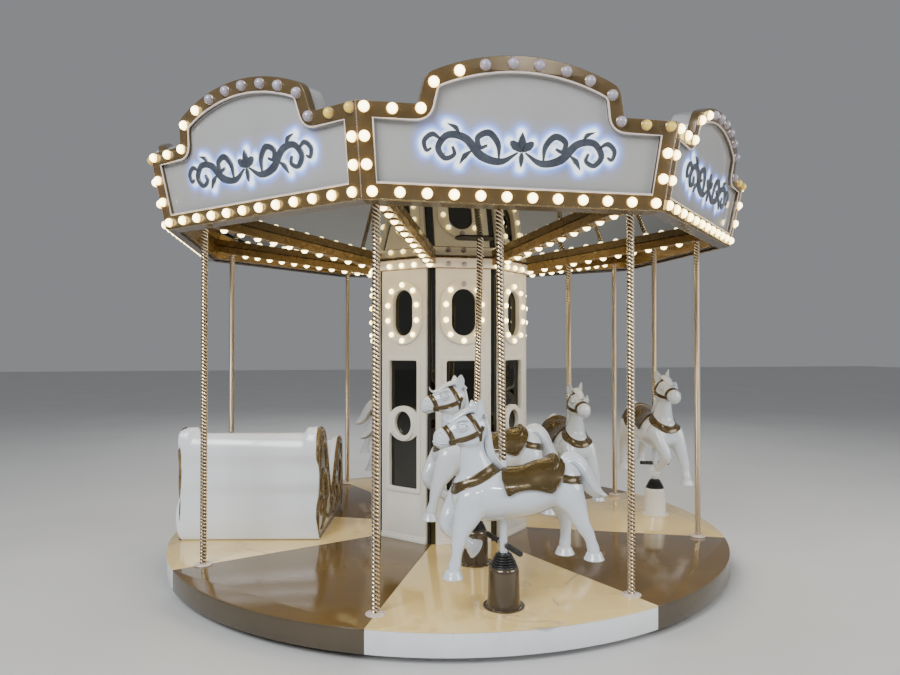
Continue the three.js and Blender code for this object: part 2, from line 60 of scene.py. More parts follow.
# ring, direction, lead, rise, lean, nod and the pedestal's finish of each horse
HORSES = [
    ("outer", 0, 1, 19, -0.7, 0.7, "bronze_paint"),
    ("inner", 0, 1, 112, 1.2, 2.2, "bronze_paint"),
    ("outer", 90, 1, 107, 0, 0, "white_gloss"),
    ("inner", 90, 1, 9, 0, 0, "white_gloss"),
    ("outer", 180, -1.7, 50, 0, 0, "white_gloss"),
    ("inner", 180, -2.7, 4, 0, 0, "white_gloss"),
]


def ceiling_z(apothem):
    return CEILING_Z + CEILING_SLOPE * (apothem - CEILING_INNER)


def beam_bottom(r):
    return ceiling_z(r * math.cos(SECTOR / 2)) - BEAM_DEPTH


def at(r, angle):
    return r * math.sin(angle), -r * math.cos(angle)


def turn(degrees, axis="Z"):
    return Matrix.Rotation(math.radians(degrees), 4, axis)


def move(x, y, z):
    return Matrix.Translation((x, y, z))


def angles(n):
    return [2 * math.pi * k / n for k in range(n)]


UPRIGHT = turn(90, "X")


# Materials
BLACK, WHITE = (0, 0, 0), (1, 1, 1)


class Surface:
    """A material in the making: its shader, and the textures that feed it."""

    def __init__(self, name, **values):
        self.mat = bpy.data.materials.new(name)
        self.mat.use_nodes = True
        self.tree = self.mat.node_tree
        self.shader = self.tree.nodes["Principled BSDF"]
        self.place = self.tree.nodes.new("ShaderNodeTexCoord").outputs["Object"]
        self.settle(self.shader, values)

    def settle(self, node, values):
        for key, value in values.items():
            node.inputs[key.replace("_", " ")].default_value = value

    def node(self, kind, source, into, **values):
        """A new node that another one's output goes into."""
        node = self.tree.nodes.new("ShaderNode" + kind)
        self.settle(node, values)
        self.tree.links.new(source, node.inputs[into])
        return node

    def noise(self, scale, detail=3.0, twist=0.0):
        values = {"Scale": scale, "Detail": detail, "Distortion": twist}
        return self.node("TexNoise", self.place, "Vector", **values).outputs["Fac"]

    def attribute(self, name):
        node = self.tree.nodes.new("ShaderNodeAttribute")
        node.attribute_name = name
        return node.outputs["Fac"]

    def ramp(self, fac, *stops):
        node = self.node("ValToRGB", fac, "Fac")
        elements = node.color_ramp.elements
        while len(elements) < len(stops):
            elements.new(0.5)
        for element, (place, colour) in zip(elements, stops):
            element.position = place
            element.color = (*colour, 1)
        return node.outputs["Color"]

    def feed(self, socket, source):
        self.tree.links.new(source, self.shader.inputs[socket])

    def rough(self, low, high, scale):
        values = {"From Min": 0.3, "From Max": 0.7, "To Min": low, "To Max": high}
        self.feed("Roughness", self.node("MapRange", self.noise(scale), "Value", **values).outputs["Result"])

    def bump(self, scale, strength, distance=0.001):
        values = {"Strength": strength, "Distance": distance}
        self.feed("Normal", self.node("Bump", self.noise(scale, 2), "Height", **values).outputs["Normal"])


def paint(name, light, dark, rough, metal=0.0, coat=0.0, scale=5.0, bump=0.08, bump_scale=60.0):
    """A painted, moulded or plated surface: drifting tone, uneven gloss and slight unevenness."""
    s = Surface(name, Metallic=metal, Coat_Weight=coat, Coat_Roughness=0.04)
    s.feed("Base Color", s.ramp(s.noise(scale, 4), (0.3, dark), (0.7, light)))
    s.rough(*rough, scale * 3)
    s.bump(bump_scale, bump)
    return s.mat


def marble(name, light, cloud, vein, rough):
    """Polished sheet with soft clouds and a few fine branching veins."""
    s = Surface(name, Coat_Weight=0.5, Coat_Roughness=0.05)
    clouds = s.ramp(s.noise(2.6, 5, 0.6), (0.35, cloud), (0.65, light))
    lines = s.ramp(s.noise(1.3, 7, 1.6), (0.485, BLACK), (0.5, WHITE), (0.515, BLACK))
    patches = s.ramp(s.noise(1.9, 2), (0.52, BLACK), (0.66, WHITE))
    veins = s.node("Math", lines, 0)
    veins.operation = "MULTIPLY"
    s.tree.links.new(patches, veins.inputs[1])
    mix = s.node("Mix", veins.outputs[0], "Factor")
    mix.data_type = "RGBA"
    mix.inputs["B"].default_value = (*vein, 1)
    s.tree.links.new(clouds, mix.inputs["A"])
    s.feed("Base Color", mix.outputs["Result"])
    s.rough(*rough, 9)
    s.bump(4, 0.15, 0.002)
    return s.mat


def toned(name, stops, rough, metal=0.0, coat=0.0, glow=0.0, base=(0.9, 0.85, 0.75)):
    """A surface whose colour follows the form: shade painted darker in grooves with a highlight painted pale
    on crests, or a lamp's glow darker towards its edge.
    """
    s = Surface(name, Metallic=metal, Coat_Weight=coat, Emission_Strength=glow)
    s.feed("Emission Color" if glow else "Base Color", s.ramp(s.attribute("tone"), *stops))
    s.rough(*rough, 25)
    if glow:
        s.shader.inputs["Base Color"].default_value = (*base, 1)
    return s.mat


BOARD_LIGHT, BOARD_DARK = (0.400, 0.398, 0.395), (0.370, 0.368, 0.365)
# name, light and dark tone, roughness, and what differs from a plain paint
PAINTS = {
    "brown": ("deck_brown", (0.146, 0.090, 0.030), (0.114, 0.070, 0.024), (0.10, 0.16),
        {"scale": 2.5, "bump": 0.015, "bump_scale": 70}),
    "white": ("white_gloss", (0.80, 0.785, 0.72), (0.74, 0.725, 0.655), (0.16, 0.28),
        {"coat": 0.5, "scale": 4}),
    "sheet": ("chariot_white", (0.79, 0.83, 0.875), (0.74, 0.78, 0.825), (0.16, 0.24),
        {"coat": 0.4, "scale": 2.5, "bump": 0.05, "bump_scale": 5}),
    "board": ("board_field", BOARD_LIGHT, BOARD_DARK, (0.12, 0.22), {"coat": 0.6, "scale": 3}),
    "horse": ("horse_lacquer", (0.68, 0.73, 0.79), (0.63, 0.68, 0.74), (0.05, 0.11),
        {"coat": 0.9, "scale": 6, "bump": 0.04}),
    "tack": ("tack_bronze", (0.115, 0.078, 0.028), (0.080, 0.053, 0.018), (0.20, 0.30),
        {"metal": 0.45, "coat": 0.5, "scale": 6, "bump": 0.05}),
    "bronze": ("bronze_paint", (0.120, 0.088, 0.050), (0.085, 0.062, 0.036), (0.12, 0.24),
        {"metal": 0.45, "coat": 0.6}),
    "border": ("border_bronze", (0.130, 0.086, 0.035), (0.103, 0.068, 0.028), (0.2, 0.3),
        {"metal": 0.25, "coat": 0.4, "scale": 2.5}),
    "inner": ("inner_gold", (0.50, 0.345, 0.145), (0.39, 0.265, 0.11), (0.16, 0.28),
        {"metal": 0.7, "coat": 0.3, "scale": 6}),
    "beam": ("beam_gold", (0.25, 0.170, 0.068), (0.19, 0.130, 0.052), (0.22, 0.34),
        {"metal": 0.6, "coat": 0.3, "scale": 6}),
    "blush": ("flange_blush", (0.70, 0.60, 0.54), (0.62, 0.52, 0.46), (0.2, 0.32),
        {"coat": 0.4, "scale": 12}),
    "scroll": ("scroll_gold", (0.30, 0.205, 0.085), (0.13, 0.085, 0.035), (0.16, 0.32),
        {"metal": 0.5, "coat": 0.5, "scale": 14}),
    "mirror": ("tinted_mirror", (0.215, 0.205, 0.17), (0.19, 0.18, 0.15), (0.01, 0.035),
        {"metal": 1.0, "scale": 2, "bump": 0.02, "bump_scale": 3}),
    "glass": ("dark_mirror", (0.085, 0.083, 0.074), (0.070, 0.068, 0.060), (0.01, 0.03),
        {"metal": 1.0, "scale": 2, "bump": 0.02, "bump_scale": 3}),
    "skirt": ("skirt_brown", (0.080, 0.060, 0.035), (0.062, 0.046, 0.027), (0.16, 0.26),
        {"coat": 0.25, "scale": 2.5, "bump": 0.03}),
    "void": ("seal_black", (0.006, 0.006, 0.006), (0.004, 0.004, 0.004), (0.75, 0.9), {"scale": 20}),
    # painted shade: a grey for the hollows of the nostrils and the line between the lips, where shade falls
    # on the white lacquer
    "crease": ("crease_painted_shade", (0.40, 0.41, 0.43), (0.34, 0.35, 0.37), (0.2, 0.3),
        {"coat": 0.3, "scale": 20}),
    "steel": ("black_steel", (0.05, 0.05, 0.052), (0.03, 0.03, 0.03), (0.4, 0.6),
        {"metal": 0.3, "scale": 12, "bump": 0.3}),
    "rubber": ("boot_rubber", (0.026, 0.026, 0.028), (0.016, 0.016, 0.017), (0.24, 0.36),
        {"scale": 20, "bump": 0.25, "bump_scale": 220}),
    "chrome": ("chrome", (0.75, 0.75, 0.75), (0.66, 0.66, 0.66), (0.06, 0.14), {"metal": 1.0, "scale": 25}),
    "trim": ("corner_trim", (0.62, 0.47, 0.38), (0.52, 0.38, 0.30), (0.2, 0.3), {"metal": 0.7, "scale": 15}),
    "bead": ("bead_blush", (0.76, 0.66, 0.62), (0.69, 0.59, 0.55), (0.2, 0.3), {"coat": 0.4, "scale": 12}),
    "slate": ("ornament_slate", (0.085, 0.098, 0.125), (0.055, 0.064, 0.085), (0.25, 0.4),
        {"metal": 0.2, "coat": 0.3, "scale": 15}),
    "unlit": ("lamp_frosted", (0.42, 0.39, 0.46), (0.34, 0.31, 0.38), (0.08, 0.16),
        {"coat": 0.8, "scale": 20}),
}
# name, light tone, clouds, veins, roughness
MARBLES = {
    "cream": ("cream_marble", (0.87, 0.66, 0.285), (0.80, 0.59, 0.235), (0.52, 0.40, 0.21), (0.06, 0.12)),
    "rim": ("white_marble", (0.80, 0.82, 0.84), (0.72, 0.74, 0.77), (0.42, 0.42, 0.44), (0.14, 0.24)),
}
# rope colour by depth: painted shade, near black in the grooves, and a painted highlight, pale on the
# strands' crests
ROPE_SHADE_AND_HIGHLIGHT_TONES = [(0, (0.045, 0.032, 0.018)), (0.22, (0.26, 0.19, 0.115))]
ROPE_SHADE_AND_HIGHLIGHT_TONES += [(0.6, (0.68, 0.54, 0.365)), (1, (0.93, 0.81, 0.62))]
LIT_TONES = [(0, (0.52, 0.36, 0.06)), (0.3, (0.95, 0.70, 0.20))]
LIT_TONES += [(0.65, (1, 0.84, 0.38)), (1, (1, 0.93, 0.60))]
DIM_TONES = [(0, (0.22, 0.12, 0.01)), (0.5, (0.55, 0.36, 0.03)), (1, (0.85, 0.66, 0.14))]

M = {key: paint(*values, **extra) for key, (*values, extra) in PAINTS.items()}
M.update({key: marble(*values) for key, values in MARBLES.items()})
M["rope"] = toned("rope_champagne", ROPE_SHADE_AND_HIGHLIGHT_TONES, (0.12, 0.22), metal=1.0, coat=0.2)
M["lit"] = toned("lamp_lit", LIT_TONES, (0.2, 0.3), glow=9.0)
M["dim"] = toned("lamp_dim", DIM_TONES, (0.2, 0.3), coat=0.5, glow=0.9, base=(0.42, 0.30, 0.06))


# Objects and meshes
def linked(name, data):
    obj = bpy.data.objects.new(name, data)
    bpy.context.scene.collection.objects.link(obj)
    return obj


def drawn(name, points, faces):
    mesh = bpy.data.meshes.new(name)
    mesh.from_pydata([Vector(p) * 0.001 for p in points], [], faces)
    return mesh


def evaluated(obj, *tools):
    """The mesh that an object comes to with its modifiers. It and its tools are removed."""
    result = obj.evaluated_get(bpy.context.evaluated_depsgraph_get())
    mesh = bpy.data.meshes.new_from_object(result)
    for used in (obj, *tools):
        bpy.data.objects.remove(used)
    return mesh


def shape_of(mesh, scale=1000):
    return [v.co * scale for v in mesh.vertices], [list(p.vertices) for p in mesh.polygons]


class Form:
    """Points and faces of one piece, in millimetres, with a material for each face."""

    def __init__(self):
        self.points, self.faces, self.mats, self.tones = [], [], [], []

    def add(self, shape, mat, matrix=None, tone=None):
        """tone gives the value that a toned material reads, from a point of the shape as drawn."""
        points, faces = shape
        start = len(self.points)
        for p in map(Vector, points):
            self.points.append(matrix @ p if matrix else p)
            self.tones.append(tone(p) if tone else 1.0)
        self.faces += [[start + i for i in f] for f in faces]
        self.mats += [mat] * len(faces)

    def mesh(self, sharp=35):
        names = sorted(set(self.mats))
        mesh = drawn("form", self.points, self.faces)
        for n in names:
            mesh.materials.append(M[n])
        mesh.polygons.foreach_set("material_index", [names.index(m) for m in self.mats])
        if min(self.tones) < 1:
            mesh.attributes.new("tone", "FLOAT", "POINT").data.foreach_set("value", self.tones)
        mesh.polygons.foreach_set("use_smooth", [True] * len(mesh.polygons))
        mesh.update()
        mesh.set_sharp_from_angle(angle=math.radians(sharp))
        return mesh


def piece(name, mesh, matrix, replaces=(), body="turntable"):
    """Puts a mesh in the scene, on its body."""
    obj = linked(name, mesh)
    place = matrix.copy()
    place.translation = place.translation * 0.001
    obj.matrix_world = place
    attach(obj, body)
    if replaces:
        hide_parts(*replaces)


def dress(name, mat):
    """Gives a CAD node that is shown as it is a better material."""
    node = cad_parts[name]
    node.data.materials.clear()
    node.data.materials.append(M[mat])


# Shapes
def plate(loops, low, high, bevel=0.0, rounds=1):
    """A flat plate between two heights with rounded edges, from an outline and its holes."""
    curve = bpy.data.curves.new("plate", "CURVE")
    curve.dimensions, curve.fill_mode = "2D", "BOTH"
    for loop in loops:
        spline = curve.splines.new("POLY")
        spline.points.add(len(loop) - 1)
        for point, (x, y) in zip(spline.points, loop):
            point.co = (x, y, 0, 1)
        spline.use_cyclic_u = True
    curve.extrude = (high - low) / 2 - bevel
    curve.bevel_depth, curve.offset, curve.bevel_resolution = bevel, -bevel, rounds
    mesh = evaluated(linked("plate", curve))
    bm = bmesh.new()
    bm.from_mesh(mesh)
    bmesh.ops.translate(bm, verts=bm.verts, vec=(0, 0, (low + high) / 2))
    bmesh.ops.remove_doubles(bm, verts=bm.verts, dist=0.01)
    bmesh.ops.recalc_face_normals(bm, faces=bm.faces)
    bm.to_mesh(mesh)
    bm.free()
    return shape_of(mesh, 1)


def skin(rings, loop=False):
    """Quads between rings of points. A face closes each end, or the last ring meets the first."""
    n, total = len(rings[0]), len(rings) * len(rings[0])
    faces = []
    for i in range(len(rings) if loop else len(rings) - 1):
        for k in range(n):
            a, b = i * n + k, i * n + (k + 1) % n
            faces.append([a, b, (b + n) % total, (a + n) % total])
    if not loop:
        faces += [list(range(n))[::-1], list(range(total - n, total))]
    return [p for ring in rings for p in ring], faces


def lathe(profile, sides=32):
    """A turned shape about Z from (radius, height) pairs that start and end on the axis."""
    points, faces, rows = [], [], []
    for r, z in profile:
        start = len(points)
        points += [(r * math.cos(a), r * math.sin(a), z) for a in angles(sides)] if r > 1e-6 else [(0, 0, z)]
        rows.append(range(start, len(points)))
    for a, b in zip(rows, rows[1:]):
        for k in range(sides):
            j = (k + 1) % sides
            if len(a) == 1 and len(b) > 1:
                faces.append([a[0], b[j], b[k]])
            elif len(b) == 1 and len(a) > 1:
                faces.append([a[k], a[j], b[0]])
            elif len(a) > 1:
                faces.append([a[k], a[j], b[j], b[k]])
    return points, faces


def globe(r, sides=14, rows=9, start=0.0):
    """A glass globe that points along +Z. start leaves out what is sunk in its socket."""
    turns = [math.pi * (start + (1 - start) * i / rows) for i in range(rows + 1)]
    profile = [(r * math.sin(a), -r * math.cos(a)) for a in turns]
    profile[0], profile[-1] = (0, profile[0][1]), (0, profile[-1][1])
    return lathe(profile, sides)


def smooth_path(points, steps):
    """Points along a curve through the given ones, evenly spread over each stretch."""
    pts = [Vector(p).to_3d() for p in points]
    ext = [pts[0] * 2 - pts[1]] + pts + [pts[-1] * 2 - pts[-2]]
    out = []
    for i in range(1, len(ext) - 2):
        a, b, c, d = ext[i - 1 : i + 3]
        square, cube = 2 * a - 5 * b + 4 * c - d, 3 * b - a - 3 * c + d
        for s in range(steps):
            t = s / steps
            out.append(0.5 * ((2 * b) + (c - a) * t + square * t * t + cube * t**3))
    return out + [pts[-1]]


def smooth_values(values, steps):
    return [p.x for p in smooth_path([(v, 0) for v in values], steps)]


def flat_path(points, steps):
    return [(p.x, p.y) for p in smooth_path(points, steps)]


def spread(values, i, n):
    """The value at place i of n, where the given ones are spread evenly over the n."""
    t = i / (n - 1) * (len(values) - 1)
    j = min(int(t), len(values) - 2)
    return values[j] + (values[j + 1] - values[j]) * (t - j)


def beside_each(line, i, closed=False):
    """What comes before and after place i of a line."""
    n = len(line)
    return (line[i - 1], line[(i + 1) % n]) if closed else (line[max(i - 1, 0)], line[min(i + 1, n - 1)])


def direction(line, i, closed=False):
    behind, ahead = beside_each(line, i, closed)
    return (ahead - behind).normalized()


def sweep(path, radii, sides=10, closed=False, up=None):
    """A tube along a path. A radius is a number or an (across, up) pair, for all or for each point."""
    path = [Vector(p) for p in path]
    radii = radii if isinstance(radii, list) else [radii] * len(path)
    rings, normal = [], None
    for i, (p, radius) in enumerate(zip(path, radii)):
        along = direction(path, i, closed)
        if up is not None:
            normal = Vector(up)
        elif normal is None:
            normal = Vector((0, 0, 1)) if abs(along.z) < 0.9 else Vector((1, 0, 0))
        normal = (normal - along * normal.dot(along)).normalized()
        across = along.cross(normal)
        a, b = radius if isinstance(radius, tuple) else (radius, radius)
        rings.append([p + across * a * math.cos(t) + normal * b * math.sin(t) for t in angles(sides)])
    return skin(rings, closed)


def swelling(points, steps, least, more, sides, power=1):
    """A tube that is thickest half way along."""
    line = smooth_path(points, steps)
    n = len(line)
    return sweep(line, [least + more * math.sin(math.pi * i / (n - 1)) ** power for i in range(n)], sides)


def boolean(a, b, operation):
    """One shape cut by, joined to or trimmed to another."""
    objs = []
    for points, faces in (a, b):
        mesh = drawn("cut", points, faces)
        bm = bmesh.new()
        bm.from_mesh(mesh)
        bmesh.ops.recalc_face_normals(bm, faces=bm.faces)
        bm.to_mesh(mesh)
        bm.free()
        objs.append(linked("cut", mesh))
    mod = objs[0].modifiers.new("cut", "BOOLEAN")
    mod.object, mod.operation, mod.solver = objs[1], operation, "EXACT"
    return shape_of(evaluated(*objs))


def moved(shape, matrix):
    return [matrix @ Vector(p) for p in shape[0]], shape[1]


def bolts(form, degrees, r, z, profile, sides):
    for a in map(math.radians, degrees):
        form.add(lathe(profile, sides), "chrome", move(r * math.cos(a), r * math.sin(a), z))


STRANDS, LEAD, ROPE_STEP, ROPE_SIDES = 3, 66, 30, 18
STRAND_AT, STRAND_R = 0.41, 0.59


def add_rope(form, r, low, high):
    """A tube twisted like a rope of round strands, between two heights, with shade painted dark in its
    grooves and a highlight painted pale on its crests.
    """
    rings = []
    count = max(2, round((high - low) / LEAD * 360 / ROPE_STEP))
    for i in range(count + 1):
        z = low + (high - low) * i / count
        twist = -2 * math.pi * (z - low) / LEAD
        ring = []
        for a in angles(ROPE_SIDES):
            off = (a * STRANDS / (2 * math.pi) % 1 - 0.5) * 2 * math.pi / STRANDS
            out = STRAND_AT * math.cos(off) + math.sqrt(STRAND_R**2 - (STRAND_AT * math.sin(off)) ** 2)
            ring.append((r * out * math.cos(a + twist), r * out * math.sin(a + twist), z))
        rings.append(ring)
    # tone for the painted shade and highlight: 0 deep in the grooves, 1 on the strands' crests
    tone = lambda p: max(0.0, min(1.0, (math.hypot(p.x, p.y) / r - 0.675) / 0.30))
    form.add(skin(rings), "rope", tone=tone)


# Deck and base
def arc(r, half, steps):
    return [at(r, half * (2 * i / steps - 1)) for i in range(steps + 1)]


def deck(k):
    """One sector of the deck: the top sheet overhangs the rim a little."""
    colour, rim, slot = ("brown", "skirt", "brown_gloss") if k % 2 else ("cream", "rim", "cream_marble")
    gap = 0.35
    half = lambda r: SECTOR / 2 - math.asin(gap / r)
    outline = lambda r: arc(r, half(r), 40) + arc(DECK_HOLE, half(DECK_HOLE), 8)[::-1]
    form = Form()
    form.add(plate([outline(DECK_R - 1)], DECK_BOTTOM, DECK_TOP - 8, 2), rim)
    form.add(plate([outline(DECK_R)], DECK_TOP - 7.6, DECK_TOP, 1.6, 2), colour)
    name = f"deck_{colour}_{k // 2 + 1}"
    piece(f"floor_{name}", form.mesh(50), turn(45 * k), [name])


for k in range(8):
    deck(k)
for name in ("base_frame", "base_beam_front", "base_beam_rear"):
    dress(name, "steel")


# Posts
def post_form():
    top = beam_bottom(POST_RING - POST_R) - 0.3
    form = Form()
    add_rope(form, POST_R, ON_DECK + 6, top)
    flange = [(0, 0), (55, 0), (55.5, 2), (54, 5), (48, 7), (30, 8), (26, 10), (0, 10)]
    form.add(lathe([(r, ON_DECK + z) for r, z in flange], 40), "blush")
    cap = [(0, -12), (30, -12), (32, -10), (32, -1), (31, 0), (0, 0)]
    form.add(lathe([(r, top + z) for r, z in cap], 28), "trim")
    bolts(form, (30, 150, 270), 41, ON_DECK + 7, [(0, 0), (4.5, 0), (4.5, 1.4), (3, 2.6), (0, 2.8)], 10)
    return form


post_mesh = post_form().mesh()
for k in range(8):
    place = turn(45 * k) @ move(*at(POST_RING, SECTOR / 2), 0)
    piece(f"twisted_post_{k + 1}", post_mesh, place, [f"post_{k + 1}"])


# Rounding boards
def quad_curve(a, c, b, steps):
    """The points after a on a curve from a to b that leans towards c."""
    bend = lambda t, i: (1 - t) ** 2 * a[i] + 2 * t * (1 - t) * c[i] + t * t * b[i]
    return [(bend(j / steps, 0), bend(j / steps, 1)) for j in range(1, steps + 1)]


def crown(r, x, steps):
    """The top arc of a board, from so far out to the middle."""
    half = math.asin(x / r)
    turns = [half * (1 - j / steps) for j in range(1, steps + 1)]
    return [(r * math.sin(t), CROWN_CENTRE + r * math.cos(t)) for t in turns]


def mirrored(half):
    return half + [(-x, y) for x, y in half[-2::-1]]


def board_outline():
    half = [(821, 0), (830, 112), (858.5, 470), (570, 470)]
    half += quad_curve((570, 470), (548, 470), (544, 495), 5) + [(531, 556)]
    half += quad_curve((531, 556), (522, 618), (474, 636), 7)
    return mirrored(half + crown(1192, 474, 22))


def field_outline(by=0.0):
    """Edge of the white field, or a line inside it by so much."""
    half = [(747 - by, 80 + by), (771.5 - by, 390 - by), (575, 390 - by)]
    half += quad_curve((575, 390 - by), (474 - by, 390 - by), (464 - by, 488), 9)
    half += [(453 - by, 540 - by)]
    half += quad_curve((453 - by, 540 - by), (451 - by, 557 - by), (436, 566 - by), 4)
    return mirrored(half + crown(1112 - by, 436, 20))


def back_outline():
    """The box behind the face, stepped back so that it stays out of sight from the front."""
    out = []
    for x, y in board_outline():
        if y < 1:
            out.append((x, y))
        elif abs(x) > 600:
            out.append((x - math.copysign(2, x), y - 18))
        else:
            out.append((x * (1 - 20 / 560), y - 20))
    return out


def mitred(shape):
    """Keeps a shape drawn on the board between the two mitre planes."""
    out = []
    for x, w, z in shape[0]:
        reach = APOTHEM + w * math.sin(LEAN) + z * math.cos(LEAN)
        limit = reach * math.tan(SECTOR / 2) - 0.25
        out.append((max(-limit, min(limit, x)), w, z))
    return out, shape[1]


CROWN_CENTRE = 735 - 1192
FIELD = -26
BOARD_PLACE = move(0, -APOTHEM, BOARD_Z) @ Matrix.Rotation(math.pi / 2 + LEAN, 4, "X")
INNER_FACE, BOX_TOP = 1905, 2479.8


def board_form():
    form = Form()
    form.add(mitred(plate([board_outline(), field_outline()[::-1]], -46, 1.5, 2.5, 2)), "border", BOARD_PLACE)
    form.add(mitred(plate([field_outline(-6)], -50, FIELD)), "board", BOARD_PLACE)
    back = moved(mitred(plate([back_outline()], -160, -46, 1.5)), BOARD_PLACE)
    room = [at(INNER_FACE / math.cos(SECTOR / 2), (j + 0.5) * SECTOR) for j in range(8)]
    form.add(boolean(back, plate([room], 1500, BOX_TOP), "DIFFERENCE"), "board")
    # raised bead round the field and a cove inside it
    bead = [(x, y, -1) for x, y in field_outline(-1)]
    form.add(sweep(bead, (6, 5), 10, closed=True, up=(0, 0, 1)), "bead", BOARD_PLACE)
    cove = [(x, y, FIELD) for x, y in field_outline(2)]
    form.add(sweep(cove, 5, 8, closed=True, up=(0, 0, 1)), "board", BOARD_PLACE)
    # gold sheet on the inner face, above the lamps
    half = (INNER_FACE - 0.6) * math.tan(SECTOR / 2) - 1
    sheet = [(-half, 2358), (half, 2358), (half, 2466), (-half, 2466)]
    form.add(plate([sheet], -1.5, 0), "inner", move(0, 0.4 - INNER_FACE, 0) @ UPRIGHT)
    # strip under the lower edge
    near, middle, far = 1908, 1944, 1977
    half = middle * math.tan(SECTOR / 2) - 1
    strip = [(-half - 15, -far), (half + 15, -far), (half - 13, -near), (-half + 13, -near)]
    tilt = move(0, -APOTHEM, BOARD_Z) @ Matrix.Rotation(-LEAN, 4, "X") @ move(0, APOTHEM, 0)
    form.add(plate([strip], -2.5, 0.4), "border", tilt)
    form.add(sweep([(-half - 14, 3 - far, -2), (half + 14, 3 - far, -2)], (5, 3), 8), "inner", tilt)
    # trim along the right-hand mitre
    form.add(sweep([(821.2, 0, 1), (858.6, 470, 1)], (4, 3), 6, up=(0, 0, 1)), "trim", BOARD_PLACE)
    return form


BULB_R = 27.5
SIDE_BULBS = [(800, 165), (813, 301), (818, 441), (678, 440), (535, 450)]
SIDE_BULBS += [(474, 579), (346, 641), (214, 678), (69, 696)]
BULBS = [(u, 35) for u in range(-770, 771, 140)] + [(s * u, w) for s in (-1, 1) for u, w in SIDE_BULBS]


def bulb_state(u, w):
    """Which lamps of a board burn, as on the boards that the photograph shows."""
    if w < 400 or (u < 0 and w < 650):
        return "lit"
    return "dim" if w < 445 else "unlit"


def bulbs_form(state):
    form = Form()
    ring = [(28 * math.cos(a), 28 * math.sin(a), -4) for a in angles(14)]
    for u, w in BULBS:
        if bulb_state(u, w) == state:
            place = BOARD_PLACE @ move(u, w, 6)
            form.add(globe(BULB_R, 16, 9, 0.35), state, place, tone=lambda p: max(0.0, p.z / BULB_R))
            form.add(sweep(ring, 2.2, 4, closed=True, up=(0, 0, 1)), "trim", place)
    return form


def ribbon(path, widths):
    """Outline of a flat band of changing width round a path."""
    left, right = [], []
    for i, (x, y) in enumerate(path):
        (ax, ay), (bx, by) = beside_each(path, i)
        d = math.hypot(bx - ax, by - ay) or 1
        h = spread(widths, i, len(path))
        nx, ny = -(by - ay) / d * h, (bx - ax) / d * h
        left.append((x + nx, y + ny))
        right.append((x - nx, y - ny))
    return left + right[::-1]


# points, steps and half widths of the vine scrolls, leaves and fronds on one side
VINES = [
    ([(20, 262), (110, 212), (215, 236), (300, 318), (392, 330), (440, 268), (404, 216), (356, 236),
        (366, 276)], 7, [3, 13, 17, 15, 13, 12, 10, 8, 5]),
    ([(120, 224), (128, 300), (178, 352), (236, 326), (222, 278), (184, 290)], 7, [3, 11, 13, 11, 8, 5]),
    ([(418, 300), (470, 330), (512, 296), (500, 250), (474, 262)], 7, [3, 10, 9, 7, 4]),
    ([(262, 262), (300, 232), (326, 190)], 6, [2, 11, 1.5]),
    ([(330, 332), (352, 368), (396, 386)], 6, [2, 9, 1.5]),
]


def ornament_bands():
    """A level scrollwork frieze: a leaf in the middle and vine scrolls that mirror each other."""
    bands = []
    for s in (1, -1):
        for points, steps, widths in VINES:
            bands.append(([(s * x, y) for x, y in flat_path(points, steps)], widths))
    for a, reach in ((0, 96), (52, 80), (-52, 80)):
        x, y = math.sin(math.radians(a)), math.cos(math.radians(a))
        bands.append(([(x * t, 268 + y * t) for t in (0, 20, 44, 70, reach)], [5, 12, 17, 11, 1.5]))
    return bands + [([(0, 262), (0, 240), (0, 214), (0, 188)], [4, 10, 8, 1.5])]


def ornament_form():
    form = Form()
    for path, widths in ornament_bands():
        form.add(plate([ribbon(path, [w * 1.35 for w in widths])], -14, -3, 1.2, 0), "slate", BOARD_PLACE)
    for u in (-404, -216, 0, 216, 404):
        pin = lathe([(0, 0), (4, 0), (4, 16), (0, 16)], 8)
        form.add(pin, "chrome", BOARD_PLACE @ move(u, 240, FIELD - 1))
    return form


HALO_HALF, HALO_LOW, HALO_HIGH = 620, 96, 476
HALO_STOPS = [(0.06, BLACK), (0.25, (0, 0.010, 0.09)), (0.5, (0.005, 0.075, 0.42))]
HALO_STOPS += [(0.78, (0.10, 0.30, 1)), (1, (0.85, 0.95, 1))]


def halo_material():
    s = Surface("halo_blue", Emission_Strength=2.0, Roughness=0.17, Coat_Weight=0.6, Coat_Roughness=0.04)
    s.feed("Emission Color", s.ramp(s.attribute("halo"), *HALO_STOPS))
    s.feed("Base Color", s.ramp(s.noise(3, 4), (0.3, BOARD_DARK), (0.7, BOARD_LIGHT)))
    return s.mat


